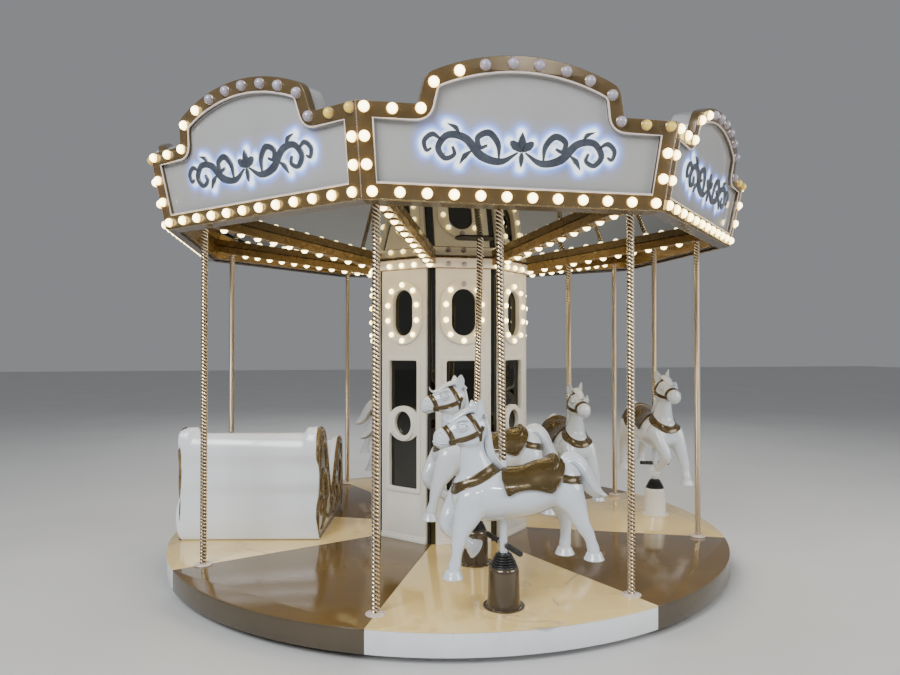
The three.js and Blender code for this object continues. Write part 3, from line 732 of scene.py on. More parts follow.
def halo_mesh():
    """The light that the ornament throws on the field, as a colour on a fine grid."""
    lines = [np.array(path) for path, _ in ornament_bands()]
    samples = np.concatenate([np.linspace(a, b, 4) for line in lines for a, b in zip(line, line[1:])])
    us = np.arange(-HALO_HALF, HALO_HALF + 1, 12.4)
    ws = np.arange(HALO_LOW, HALO_HIGH + 1, 12.6)
    grid = np.array([(u, w) for w in ws for u in us])
    dist = np.full(len(grid), 1e9)
    for part in np.array_split(samples, 20):
        dist = np.minimum(dist, np.sqrt(((grid[:, None, :] - part[None]) ** 2).sum(2)).min(1))
    value = 1 / (1 + (np.clip(dist - 14, 0, None) / 30.0) ** 2.2)
    u, w = grid[:, 0], grid[:, 1]
    edge = np.minimum.reduce([u + HALO_HALF, HALO_HALF - u, w - HALO_LOW, HALO_HIGH - w])
    value *= np.clip(edge / 50, 0, 1)
    nu = len(us)
    corners = [j * nu + i for j in range(len(ws) - 1) for i in range(nu - 1)]
    cells = [[c, c + 1, c + nu + 1, c + nu] for c in corners]
    faces = [cell for cell in cells if value[cell].max() > 0.01]
    used = sorted({i for f in faces for i in f})
    index = {v: i for i, v in enumerate(used)}
    points = [BOARD_PLACE @ Vector((*grid[i], FIELD + 0.6)) for i in used]
    mesh = drawn("halo", points, [[index[i] for i in f] for f in faces])
    layer = mesh.attributes.new("halo", "FLOAT", "POINT")
    layer.data.foreach_set("value", value[used].astype(np.float32))
    mesh.polygons.foreach_set("use_smooth", [True] * len(mesh.polygons))
    mesh.materials.append(halo_material())
    return mesh


BULB_SLOTS = {"lit": "lamp_lit", "dim": "lamp_lit", "unlit": "lamp_dark"}
board_mesh = board_form().mesh(40)
bulb_meshes = {state: bulbs_form(state).mesh() for state in BULB_SLOTS}
ornament_mesh = ornament_form().mesh()
halo = halo_mesh()
for k in range(8):
    place, n = turn(45 * k), k + 1
    piece(f"board_{n}", board_mesh, place, [f"rounding_board_{n}"])
    for state, slot in BULB_SLOTS.items():
        piece(f"board_lamps_{state}_{n}", bulb_meshes[state], place)
    piece(f"board_ornament_{n}", ornament_mesh, place)
    piece(f"board_halo_{n}", halo, place)


# Ceiling, beams and collar
dress("ceiling", "mirror")
dress("roof_frame", "beam")
dress("column_core", "glass")


def beam_lamps_form():
    form = Form()
    tone = lambda p: 0.35 + 0.65 * max(0.0, p.z / BEAM_LAMP_R)
    for i in range(BEAM_LAMPS):
        r = BEAM_START + (LAST_LAMP - BEAM_START) * i / (BEAM_LAMPS - 1)
        place = move(*at(r, SECTOR / 2), beam_bottom(r)) @ turn(180, "X")
        form.add(globe(BEAM_LAMP_R, 14, 8, 0.42), "lit", place, tone=tone)
        form.add(lathe([(0, -2), (30, -2), (31, 2), (28, 5), (0, 5)], 20), "trim", place)
    off = Vector((*at(38, SECTOR / 2 + math.pi / 2), -1))
    for side in (-1, 1):
        ends = [Vector((*at(r, SECTOR / 2), beam_bottom(r))) for r in (BEAM_START, BEAM_END)]
        form.add(sweep([p + Vector((off.x * side, off.y * side, off.z)) for p in ends], 3.2, 8), "beam")
    return form


def collar_form():
    """White band round the column head, with a fine trim above and below."""
    form = Form()
    half = (COLLAR + 0.2) * math.tan(SECTOR / 2) - 0.6
    low = COLLAR_BOTTOM + 3
    band = [(-half, low), (half, low), (half, COLLAR_TOP), (-half, COLLAR_TOP)]
    stand = move(0, -COLLAR, 0) @ UPRIGHT
    form.add(plate([band], 0, 3.5, 1), "white", stand)
    for z in (low + 2, COLLAR_TOP - 4):
        form.add(sweep([(-half, z, 4), (half, z, 4)], 2.6, 8), "trim", stand)
    return form


def small_lamps(places, state, r=19.5):
    form = Form()
    socket = [(0, -12), (r + 3, -12), (r + 4, -10), (r + 2, -6.5), (0, -6.5)]
    for place in places:
        form.add(globe(r, 14, 8, 0.3), state, place, tone=lambda p: max(0.0, p.z / r))
        form.add(lathe(socket, 18), "trim", place)
    return form.mesh()


def on_oval(s, half, r):
    """A point on an upright oval ring, at a distance s from its top, down the left side first."""
    whole = 4 * half + 2 * math.pi * r
    if s > whole / 2:
        x, z = on_oval(whole - s, half, r)
        return -x, z
    down = min(max(s - math.pi * r / 2, 0), 2 * half)
    t = (s - down) / r
    return -r * math.sin(t), half - down + r * math.cos(t)


OVAL_HALF, OVAL_R = 73, 132
oval_round = 4 * OVAL_HALF + 2 * math.pi * OVAL_R
oval_points = [on_oval(oval_round * i / 10, OVAL_HALF, OVAL_R) for i in range(10)]
oval_places = [move(x, -COLUMN - 16, OVAL_Z + z) @ UPRIGHT for x, z in oval_points]
collar_places = [move(u, -COLLAR - 9.5, 2186) @ UPRIGHT for u in (-115, 0, 115)]
collar_mesh = collar_form().mesh()
beam_lamp_mesh = beam_lamps_form().mesh()
for k in range(8):
    place, n = turn(45 * k), k + 1
    piece(f"collar_band_{n}", collar_mesh, place)
    piece(f"beam_lamps_{n}", beam_lamp_mesh, place)
    # in front the collar's lamps and the top one of the oval are out
    state, slot = ("lit", "lamp_lit") if k else ("unlit", "lamp_dark")
    piece(f"collar_lamps_{n}", small_lamps(collar_places, state), place)
    piece(f"oval_lamps_{n}", small_lamps(oval_places if k else oval_places[1:], "lit"), place)
    if k == 0:
        piece(f"oval_lamp_out_{n}", small_lamps(oval_places[:1], "unlit"), place)


# Column panels
def oval(width, height, z, steps=14):
    """An upright slot with round ends."""
    r, half = width / 2, height / 2 - width / 2
    turns = [math.pi * i / steps for i in range(steps + 1)]
    top = [(r * math.cos(t), z + half + r * math.sin(t)) for t in turns]
    return top + [(-x, 2 * z - y) for x, y in top]


def ellipse(rx, rz, z=RING_Z, steps=44):
    return [(rx * math.cos(a), z + rz * math.sin(a)) for a in angles(steps)]


def window_half(side):
    """One opening of the long window, cut off by the ring that crosses it."""
    x, c, rx, rz = 125, 14, 148, 130
    far = 1488 if side > 0 else 557
    reach = math.acos(x / rx)
    turns = [reach + (math.pi - 2 * reach) * i / 20 for i in range(21)]
    ring = [(rx * math.cos(t), RING_Z + side * rz * math.sin(t)) for t in turns]
    corner = [(-x, far - side * c), (-x + 4, far - side * 4), (-x + c, far)]
    return ring + corner + [(-a, b) for a, b in corner[::-1]]


def rounded_box(half, low, high, c):
    corners = [(half - c, high - c), (-half + c, high - c), (-half + c, low + c), (half - c, low + c)]
    out = []
    for k, (x, z) in enumerate(corners):
        turns = [math.radians(90 * (k + i / 4)) for i in range(5)]
        out += [(x + c * math.cos(t), z + c * math.sin(t)) for t in turns]
    return out


def panel_form():
    form = Form()
    stand = move(0, -COLUMN, 0) @ UPRIGHT
    box = lambda low, high: [(-PANEL_HALF, low), (PANEL_HALF, low), (PANEL_HALF, high), (-PANEL_HALF, high)]
    holes = [oval(178, 338, OVAL_Z), ellipse(75, 89), window_half(1), window_half(-1)]
    layers = [([box(ON_DECK, PANEL_TOP)] + holes, -PANEL_THICK, 0, 2.5, 1)]
    # raised oval ring that carries lamps, window frame and crossing ring with its webs
    layers.append(([oval(350, 470, OVAL_Z, 24), oval(178, 338, OVAL_Z, 24)], -2, 12, 5, 3))
    layers.append(([rounded_box(158, 524, 1520, 22), rounded_box(127, 555, 1490, 15)], -2, 9, 4, 3))
    layers.append(([ellipse(103, 128), ellipse(75, 89)], -2, 11, 5, 3))
    for s in (-1, 1):
        web = [(s * 90, RING_Z - 62), (s * 148, RING_Z - 92), (s * 148, RING_Z + 92), (s * 90, RING_Z + 62)]
        layers.append(([web[::s]], -3, 6, 2, 1))
    # plinth in two steps
    layers.append(([box(ON_DECK, ON_DECK + 26)], -2, 7, 1.5, 1))
    layers.append(([box(ON_DECK + 26, ON_DECK + 40)], -2, 3.5, 1.5, 1))
    for layer in layers:
        form.add(plate(*layer), "white", stand)
    for x in (7 - PANEL_HALF, PANEL_HALF - 7):
        form.add(sweep([(x, ON_DECK + 40, 0), (x, COLLAR_BOTTOM - 2, 0)], (3.5, 3), 8), "white", stand)
    return form


panel_mesh = panel_form().mesh(40)
for k in range(8):
    piece(f"column_face_{k + 1}", panel_mesh, turn(45 * k), [f"column_panel_{k + 1}"])


# Pedestals and boots
def pedestal_form(mat):
    profile = [(0, 0), (114, 0), (115, 2), (115, 6), (112, 9), (98, 10), (92, 14), (90, 22), (84.5, 190)]
    profile += [(83, 206), (79, 215), (72, 220), (24.5, 221), (24.5, 4), (0, 4)]
    form = Form()
    form.add(lathe([(r, z + ON_DECK) for r, z in profile], 48), mat)
    bolts(form, (45, 135, 225, 315), 104, ON_DECK + 9, [(0, 0), (5.5, 0), (5.5, 2), (4, 3.6), (0, 4)], 12)
    return form


def boot_form():
    """Bellows of five folds that narrow towards the pole."""
    fold = [(14, 0.8), (4, 2.4), (0.6, 4.4), (0, 6.2), (0.6, 8), (4, 10), (14, 11.6)]
    profile = [(0, 0), (74, 0), (75, 3), (72, 8)]
    for i in range(5):
        wide = 71 - 25 * (i / 4) ** 1.1
        profile += [(wide - inset, 8 + i * 12.4 + z) for inset, z in fold]
    profile += [(33, 70), (31, 74), (29.5, 76), (25, 76), (25, 4), (0, 4)]
    form = Form()
    form.add(lathe([(r, z + ON_DECK + 219) for r, z in profile], 40), "rubber")
    return form


# Poles and footrests, drawn about the horse's own zero
def pole_form(ring):
    form = Form()
    add_rope(form, POLE_R, 596, ceiling_z(RINGS[ring]) + 100 - HORSE_ZERO)
    tube = [(0, -168), (POLE_R, -168), (POLE_R, 560), (27, 574), (27.5, 590), (26, 602), (0, 602)]
    form.add(lathe(tube, 32), "horse")
    return form


def footrest_form():
    form = Form()
    grip = [(0, 46), (16.5, 46), (17.5, 48), (17.5, 54), (15.5, 57)]
    for z in range(60, 152, 8):
        grip += [(15, z), (15.8, z + 1.5), (15.8, z + 5), (15, z + 6.5)]
    grip += [(15.6, 158), (14, 163), (10, 165), (0, 165)]
    for s in (-1, 1):
        place = move(0, 0, 143) @ turn(20) @ turn(6, "X") @ turn(-90 * s, "X")
        form.add(lathe([(0, 0), (12, 0), (12, 60), (0, 60)], 20), "steel", place)
        form.add(lathe([(0, 26), (16, 26), (17, 28), (17, 34), (16, 36), (0, 36)], 24), "chrome", place)
        form.add(lathe(grip, 24), "rubber", place)
    return form


# The horse. Its stations are (x, y, z, half depth, half width)
BARREL = [
    (284, 0, 425, 20, 20), (270, 0, 424, 60, 58), (225, 0, 428, 112, 104), (125, 0, 419, 144, 140),
    (0, 0, 416, 138, 140), (-130, 0, 424, 134, 135), (-240, 0, 459, 132, 145), (-335, 0, 472, 130, 148),
    (-396, 0, 464, 102, 114), (-425, 0, 457, 62, 66), (-437, 0, 454, 22, 22),
]
NECK = [
    (120, 0, 440, 130, 100), (135, 0, 500, 126, 96), (150, 0, 560, 97, 78), (166, 0, 620, 77, 62),
    (172, 0, 680, 68, 52), (168, 0, 740, 66, 50), (158, 0, 800, 58, 50),
]
HEAD = [
    (92, 0, 800, 22, 24), (106, 0, 798, 52, 48), (148, 0, 784, 86, 67), (200, 0, 772, 89, 68),
    (250, 0, 762, 79, 61), (290, 0, 748, 61, 51), (318, 0, 737, 55, 48), (344, 0, 730, 61, 53),
    (366, 0, 728, 52, 48), (381, 0, 728, 34, 33), (389, 0, 728, 10, 12),
]
CHEEK = [
    (132, 36, 752, 22, 16), (156, 44, 746, 52, 30), (194, 46, 737, 56, 31), (230, 40, 734, 40, 25),
    (262, 30, 734, 16, 12),
]
CHEEKS = [[(x, s * y, z, a, b) for x, y, z, a, b in CHEEK] for s in (-1, 1)]
CHEST = [
    (205, 0, 330, 30, 40), (225, 0, 372, 52, 84), (236, 0, 425, 48, 96), (222, 0, 480, 50, 82),
    (190, 0, 530, 40, 58),
]
FRONT_LEG = [
    (165, 80, 470, 60, 44), (175, 92, 425, 90, 56), (215, 102, 335, 76, 55), (254, 112, 252, 49, 49),
    (268, 119, 203, 40, 44), (273, 122, 184, 40, 43), (278, 125, 160, 33, 36), (284, 127, 120, 30, 33),
    (289, 128, 92, 34, 37), (293, 129, 76, 36, 38), (298, 130, 58, 33, 35), (300, 130, 44, 38, 38),
]
RAISED_LEG = [
    (170, -84, 470, 60, 44), (190, -96, 425, 86, 54), (250, -78, 345, 68, 50), (300, -56, 268, 48, 46),
    (292, -52, 228, 43, 43), (252, -56, 186, 34, 35), (220, -59, 163, 31, 32), (194, -61, 146, 34, 36),
    (180, -62, 136, 35, 36), (166, -62, 126, 34, 35), (158, -63, 120, 38, 38),
]
NEAR_LEG = [
    (-322, 70, 500, 84, 60), (-330, 84, 452, 97, 70), (-353, 95, 400, 86, 66), (-378, 100, 355, 70, 58),
    (-401, 103, 300, 54, 49), (-424, 104, 250, 44, 43), (-452, 105, 205, 37, 38), (-468, 106, 165, 31, 33),
    (-478, 106, 135, 34, 36), (-482, 106, 120, 36, 37), (-485, 106, 102, 34, 34), (-486, 106, 88, 38, 38),
]
FAR_LEG = [
    (-316, -70, 500, 84, 60), (-322, -85, 445, 96, 70), (-340, -95, 388, 84, 64),
    (-361, -100, 335, 66, 56), (-383, -103, 285, 51, 48), (-396, -104, 240, 42, 42),
    (-400, -105, 195, 35, 36), (-399, -106, 150, 31, 33), (-397, -106, 116, 34, 36),
    (-395, -106, 98, 36, 37), (-393, -106, 78, 34, 34), (-393, -106, 64, 38, 38),
]
LIMBS = (BARREL, NECK, HEAD, *CHEEKS, CHEST, FRONT_LEG, RAISED_LEG, NEAR_LEG, FAR_LEG)
HOOF = [(0, 44), (30, 44), (37, 41), (42, 34), (46, 24), (52, 10), (55.5, 5), (56, 2), (54, 0), (0, 0)]
HOOVES = [(302, 130, 16), (-486, 106, 64), (-393, -106, 37)]
# hair: its path as (x, z), its radius there, and the (across, up) places and thickness of its locks
TAIL = [(-330, 560), (-368, 592), (-406, 590), (-446, 550), (-482, 488), (-520, 432), (-562, 398)]
TAIL += [(-606, 386)]
TAIL_R = [28, 42, 50, 54, 51, 43, 26, 3]
TAIL_LOCKS = [(0, 0.1), (0.42, 0.36), (-0.42, 0.36), (0.46, -0.28), (-0.46, -0.28), (0.1, 0.66)]
TAIL_LOCKS += [(0, -0.55), (0.8, 0.05), (-0.8, 0.05)]
MANE = [(118, 868), (104, 800), (94, 735), (84, 668), (60, 612), (24, 572), (-14, 530)]
MANE_R = [16, 24, 27, 28, 27, 21, 4]
MANE_LOCKS = [(0, 0.30), (0.40, 0.2), (-0.40, 0.2), (0.78, -0.12), (-0.78, -0.12)]
MANE_LOCKS += [(0.98, -0.55), (-0.98, -0.55)]
FORELOCK = [(92, 848), (128, 872), (172, 878), (220, 864), (262, 838), (298, 818), (322, 822), (337, 848)]
FORELOCK_R = [18, 25, 28, 26, 21, 15, 9, 2]
FRINGE = [(0, 0.30), (0.42, 0.24), (-0.42, 0.24), (0.80, 0.06), (-0.80, 0.06)]
HAIR = [
    (TAIL, TAIL_R, TAIL_LOCKS, 0.42),
    (MANE, MANE_R, MANE_LOCKS, 0.42),
    (FORELOCK, FORELOCK_R, FRINGE, 0.46),
]
EARS = [((153, 40, 828), (140, 57, 941)), ((160, -40, 826), (164, -57, 930))]
SADDLE_SIDE = [
    (6, 760), (4, 560), (24, 542), (30, 515), (24, 482), (8, 438), (-24, 449), (-60, 459), (-114, 464),
    (-170, 459), (-232, 444), (-256, 468), (-278, 500), (-294, 528), (-308, 556), (-322, 590), (-326, 760),
]
SADDLE_PIPING = [
    (12, 520), (6, 478), (-6, 462), (-60, 478), (-114, 483), (-170, 478), (-218, 466), (-236, 486),
    (-256, 530), (-264, 580),
]
Y = Vector((0, 1, 0))


def loft(stations, sides=20, steps=4):
    """A smooth closed skin round a row of stations."""
    centres = smooth_path([s[:3] for s in stations], steps)
    sizes = smooth_path([s[3:] for s in stations], steps)
    rings = []
    for i, (c, size) in enumerate(zip(centres, sizes)):
        along = direction(centres, i)
        across = (Y - along * along.y).normalized()
        up = across.cross(along).normalized()
        a, b = max(size.x, 1), max(size.y, 1)
        rings.append([c + up * a * math.cos(t) + across * b * math.sin(t) for t in angles(sides)])
    return skin(rings)


def add_hair(form, path, radii, locks, width):
    """Locks of hair that lie side by side along a path and meet at its end."""
    line = smooth_path([(x, 0, z) for x, z in path], 5)
    sizes = [max(r, 1) for r in smooth_values(radii, 5)]
    thick = [(max(r * width, 0.8), max(r * width * 1.15, 0.8)) for r in sizes]
    for across, high in locks:
        points = []
        for i, (p, r) in enumerate(zip(line, sizes)):
            normal = direction(line, i).cross(Y).normalized()
            points.append(p + Y * across * r + normal * high * r)
        form.add(sweep(points, thick, 8, up=Y), "horse")


def body_surface():
    """The horse's body as one smooth surface: lofted limbs melted together."""
    form = Form()
    for stations in LIMBS:
        form.add(loft(stations), "horse")
    obj = linked("horse_body", drawn("horse_body", form.points, form.faces))
    remesh = obj.modifiers.new("melt", "REMESH")
    remesh.mode, remesh.voxel_size = "VOXEL", 0.0112
    relax = obj.modifiers.new("relax", "SMOOTH")
    relax.factor, relax.iterations = 0.5, 7
    return shape_of(evaluated(obj))


def beside(points, s):
    """Rays at the body's side through points of the side view."""
    return [((x, s * 400, z), (x, 0, z)) for x, z in points]


def both_sides(rays):
    """Rays from one side up to the middle, with the same ones from the other side after them."""
    return rays + [((x, -y, z), aim) for (x, y, z), aim in rays[-2::-1]]


def land(tree, start, aim):
    """Where a ray meets a surface, or else the place nearest to its aim, and the normal there."""
    start, aim = Vector(start), Vector(aim)
    place, normal, _, _ = tree.ray_cast(start, (aim - start).normalized())
    if place is None:
        place, normal, _, _ = tree.find_nearest(aim)
    return place, normal


def eased(rows, closed):
    """Each value added to its two neighbours, counted twice itself."""
    sums = []
    for i, own in enumerate(rows):
        before, after = beside_each(rows, i, closed)
        sums.append(before + own * 2 + after)
    return sums


# half of a strap's section: places across it and the height there, with a rib along its edge
STRAP_HALF = [(1, -1.5), (1, 0.55), (0.88, 1), (0.72, 0.95), (0.62, 0.55), (0, 0.55)]
STRAP_SECTION = [(-1, -1.5)] + STRAP_HALF + [(-u, v) for u, v in STRAP_HALF[-2:0:-1]]


def strap(form, tree, rays, half, closed=False, thick=3.2):
    """A flat strap of some half width on the body, through the places where the rays meet it."""
    lines = []
    for points in zip(*rays):
        line = smooth_path(points + points[:1] if closed else points, 4)
        lines.append(line[:-1] if closed else line)
    hits, normals = zip(*[land(tree, start, aim) for start, aim in zip(*lines)])
    on, n = hits, len(hits)
    for _ in range(8):
        on = [p / 4 for p in eased(on, closed)]
        normals = [m.normalized() for m in eased(normals, closed)]
    # taut over hollows, but never under the skin
    on = [p + m * max(0.0, (hit - p).dot(m)) for p, hit, m in zip(on, hits, normals)]
    rows = []
    for i, (p, m) in enumerate(zip(on, normals)):
        h = spread(half, i, n) if isinstance(half, list) else half
        across = m.cross(direction(on, i, closed)).normalized() * h
        lifts = []
        for u, _ in STRAP_SECTION:
            reach = tree.ray_cast(p + across * u + m * 40, -m, 60)[3]
            lifts.append(max(-8.0, 40 - reach) if reach else 0.0)
        rows.append((across, np.array(lifts)))
    rings = []
    for (across, _), lifts, p, m in zip(rows, eased([lifts for _, lifts in rows], closed), on, normals):
        ring = [p + across * u + m * (thick * v + lift / 4) for (u, v), lift in zip(STRAP_SECTION, lifts)]
        rings.append(ring)
    form.add(skin(rings, closed), "tack")


def ear_shape(base, tip, side):
    """A cupped leaf with a round tip, open forwards and outwards."""
    middle = base.lerp(tip, 0.5) + Vector((-3, side * 6, 0))
    line = smooth_path([base, middle, tip], 10)
    sizes = smooth_values((14, 20, 25, 28, 27, 20, 3), 5)
    open_to = Vector((0.55, side * 0.83, 0.05)).normalized()
    rings = []
    for i, p in enumerate(line):
        along = direction(line, i)
        front = (open_to - along * open_to.dot(along)).normalized()
        across = along.cross(front)
        w = sizes[round(i / (len(line) - 1) * (len(sizes) - 1))]
        leaf = lambda a, wide, deep: p + across * w * wide * math.cos(a) - front * w * deep * math.sin(a)
        outer = [leaf(a, 1, 0.9) for a in np.linspace(0, math.pi, 12)]
        inner = [leaf(a, 0.74, 0.9 * 0.46) + front for a in np.linspace(math.pi, 0, 9)]
        rings.append(outer + inner)
    return skin(rings)


UPPER_LID = [(272, 61, 792), (262, 68, 806), (243, 72, 814), (222, 70, 809), (207, 66, 798)]
LOWER_LID = [(270, 62, 790), (256, 70, 779), (238, 72, 776), (218, 70, 784), (207, 66, 796)]
BROW = [(281, 52, 806), (262, 60, 826), (236, 64, 836), (208, 64, 830)]
# along the mouth from one side to the front: x, how far the ray comes from the side, z
MOUTH = [(312, 1, 702), (332, 1, 699), (354, 1, 701), (374, 0.55, 706), (382, 0, 708)]
CANTLE = [(-236, 122, 500), (-262, 106, 552), (-284, 72, 592), (-292, 0, 612)]
POMMEL = [(8, 70, 520), (2, 44, 548), (-2, 0, 562)]


def add_face(form, tree):
    """Eyes with their lids and brows, nostrils and lips, with shade painted grey into the nostrils and
    between the lips.
    """
    for s in (-1, 1):
        on_side = lambda points: [(x, s * y, z) for x, y, z in points]
        form.add(globe(25, 20, 12), "horse", move(240, s * 50, 796) @ Matrix.Scale(1.15, 4, (1, 0, 0)))
        form.add(sweep(smooth_path(on_side(UPPER_LID), 5), 3.6, 8), "horse")
        form.add(sweep(smooth_path(on_side(LOWER_LID), 5), 2.8, 8), "horse")
        form.add(swelling(on_side(BROW), 5, 2, 5, 8), "horse")
        nostril = []
        for a in angles(16):
            x, z = 356 + 12 * math.cos(a + 0.5), 760 + 8.5 * math.sin(a)
            nostril.append(land(tree, (x, s * 300, z), (x, s * 40, z))[0])
        form.add(sweep(nostril, 3.6, 8, closed=True, up=(0, s, 0)), "horse")
        middle = sum(nostril, Vector()) / len(nostril)
        # painted shade: a grey globe deep in each nostril
        form.add(globe(7, 12, 8), "crease", move(*(middle - Y * s * 3)))
    # the thin grey line between the lips is painted shade
    for rise, r, mat in ((6, 4.8, "horse"), (0, 1.8, "crease"), (-6, 4.8, "horse")):
        rays = []
        for x, y, z in MOUTH:
            rays.append(((x + 200 * (1 - y), 200 * y, z + rise), (x - 20 * (1 - y), 0, z + rise)))
        lip = [land(tree, *ray)[0] for ray in both_sides(rays)]
        form.add(sweep(smooth_path(lip, 4), r, 8), mat)


def add_straps(form, tree):
    """Bridle, collar and breeching."""
    nose = []
    for x, degrees in ((328, 0), (321, 35), (306, 65), (294, 90), (286, 120), (281, 150), (279, 180)):
        a = math.radians(degrees)
        nose.append(((x, 240 * math.sin(a), 742 + 240 * math.cos(a)), (x, 0, 742)))
    strap(form, tree, both_sides(nose)[:-1], 15, closed=True)
    for s in (-1, 1):
        strap(form, tree, beside([(318, 704), (279, 714), (224, 730), (176, 748), (136, 768)], s), 15)
        strap(form, tree, beside([(143, 760), (130, 780), (120, 802)], s), [15, 9], thick=6)
        strap(form, tree, beside([(142, 770), (140, 740), (141, 708)], s), [15, 5], thick=6)
        breech = beside([(-286, 519), (-335, 509), (-385, 498)], s)
        breech += [((-720, s * 230, 490), (-360, 0, 490)), ((-800, 0, 487), (-300, 0, 487))]
        strap(form, tree, breech, 23, thick=5)
    over_head = beside([(138, 758), (160, 796), (180, 834)], 1)
    over_head += [((212, 150, 960), (192, 0, 820)), ((204, 0, 1000), (200, 0, 800))]
    strap(form, tree, both_sides(over_head), 15)
    # the collar lies in one slanting plane: from the side rays turn round to the front of the chest
    collar = beside([(14, 562), (50, 566), (90, 552)], 1)
    for degrees, z in ((0, 530), (18, 515), (36, 498), (54, 480), (72, 463), (90, 455)):
        a = math.radians(degrees)
        collar.append(((135 + 400 * math.sin(a), 400 * math.cos(a), z), (135, 0, z)))
    strap(form, tree, both_sides(collar), 30, thick=6)


def add_saddle(form):
    """A thicker skin over the back, trimmed to its side view, with piping, cantle and pommel."""
    whole = loft([(x, y, z, d + 12, w + 12) for x, y, z, d, w in BARREL[2:-2]], 36, 7)
    side = moved(plate([SADDLE_SIDE], -260, 260), UPRIGHT)
    form.add(boolean(whole, side, "INTERSECT"), "tack")
    tree = BVHTree.FromPolygons(*whole)
    for s in (-1, 1):
        for points, steps, r, sides in ((SADDLE_SIDE[1:-1], 3, 3.6, 8), (SADDLE_PIPING, 4, 2.2, 6)):
            hits = [tree.ray_cast((x, s * 400, z), (0, -s, 0))[0] for x, z in flat_path(points, steps)]
            form.add(sweep([hit for hit in hits if hit is not None], r, sides), "tack")
    across = lambda half: half + [(x, -y, z) for x, y, z in half[-2::-1]]
    form.add(swelling(across(CANTLE), 7, 4, 17, 12, 0.7), "tack")
    form.add(swelling(across(POMMEL), 6, 3, 8, 10), "tack")


def horse_form():
    form = Form()
    body = body_surface()
    form.add(body, "horse")
    tree = BVHTree.FromPolygons(*body)
    for place in HOOVES:
        form.add(lathe(HOOF, 32), "horse", move(*place))
    # the raised hoof points on along its leg
    along = Vector((-32, -2, -23)).normalized()
    tilt = Vector((0, 0, -1)).rotation_difference(along).to_matrix().to_4x4()
    form.add(lathe(HOOF, 32), "horse", move(134, -64, 102) @ tilt)
    for s, (base, tip) in zip((1, -1), EARS):
        form.add(ear_shape(Vector(base), Vector(tip), s), "horse")
    add_face(form, tree)
    for hair in HAIR:
        add_hair(form, *hair)
    add_straps(form, tree)
    add_saddle(form)
    return form


def stand_place(ring, degrees, lead):
    return turn(degrees - lead) @ move(0, -RINGS[ring], 0)


horse_mesh = horse_form().mesh(50)
pole_meshes = {ring: pole_form(ring).mesh() for ring in RINGS}
footrest_mesh = footrest_form().mesh()
boot_mesh = boot_form().mesh(60)
pedestal_meshes = {
    "bronze_paint": pedestal_form("bronze").mesh(),
    "white_gloss": pedestal_form("white").mesh(),
}
for i, (ring, degrees, lead, rise, lean, nod, finish) in enumerate(HORSES, 1):
    stand = stand_place(ring, degrees, lead)
    tilt = move(0, 0, PIVOT) @ turn(lean, "Y") @ move(0, 0, -PIVOT)
    carried = stand @ tilt @ move(0, 0, HORSE_ZERO + rise)
    nodding = move(0, 0, SADDLE_Z) @ turn(-nod, "Y") @ move(0, 0, -SADDLE_Z)
    facing = carried @ turn(180) @ nodding
    body = f"rider_{i}"
    piece(f"carved_horse_{i}", horse_mesh, facing, [f"horse_{i}"], body)
    piece(f"rope_pole_{i}", pole_meshes[ring], carried, [f"pole_{i}"], body)
    piece(f"footrest_{i}", footrest_mesh, carried, (), body)
    piece(f"stand_{i}", pedestal_meshes[finish], stand, [f"pedestal_{i}"])
    piece(f"boot_{i}", boot_mesh, stand)


# Slot seals in the ceiling
def seal_form(ring, lean):
    """A black seal and a sliding mirror sheet, with a hole for the pole."""
    z = ceiling_z(RINGS[ring])
    shift = math.sin(math.radians(lean)) * (z - PIVOT)
    slot = lambda width, length: [(y, x) for x, y in oval(width, length, 0)]
    hole = [(shift + 27 * math.cos(a), 27 * math.sin(a)) for a in angles(24)]
    slope = move(0, 0, z) @ Matrix.Rotation(-math.atan(CEILING_SLOPE), 4, "X")
    form = Form()
    form.add(plate([slot(92, 262), hole], -5, -0.5, 0.6), "void", slope)
    form.add(plate([slot(54, 284), hole], 0.5, 4), "mirror", slope)
    return form


for i, (ring, degrees, lead, _, lean, _, _) in enumerate(HORSES, 1):
    piece(f"slot_seal_{i}", seal_form(ring, lean).mesh(), stand_place(ring, degrees, lead))


# Chariot. Its side views are (distance from the rear, height), drawn at the inner end's length
CHARIOT_TURN, CHARIOT_REAR, END_THICK = -10.81, -504, 60
OUTER_X, OUTER_LENGTH = -1971, 766
INNER_X, INNER_LENGTH = -955, 1134
END_LINE = [
    (1000, 0), (1082, 30), (1124, 120), (1134, 290), (1116, 410), (1118, 520), (1084, 602), (1010, 624),
    (930, 592), (842, 490), (740, 330), (668, 250), (610, 222), (556, 250), (500, 330), (420, 510),
    (335, 690), (255, 778), (160, 808), (74, 790), (18, 720), (0, 630), (22, 530), (12, 420), (26, 325),
    (6, 205), (10, 80), (40, 0),
]
REAR_GROUND = [
    (40, 330), (60, 250), (130, 235), (290, 250), (420, 215), (455, 300), (395, 500), (318, 668), (246, 752),
    (160, 782), (88, 766), (40, 708), (26, 630), (44, 530), (34, 420),
]
FRONT_GROUND = [
    (640, 246), (700, 200), (960, 250), (1096, 260), (1092, 410), (1092, 520), (1064, 584), (1008, 600),
    (944, 572), (860, 474), (756, 316),
]
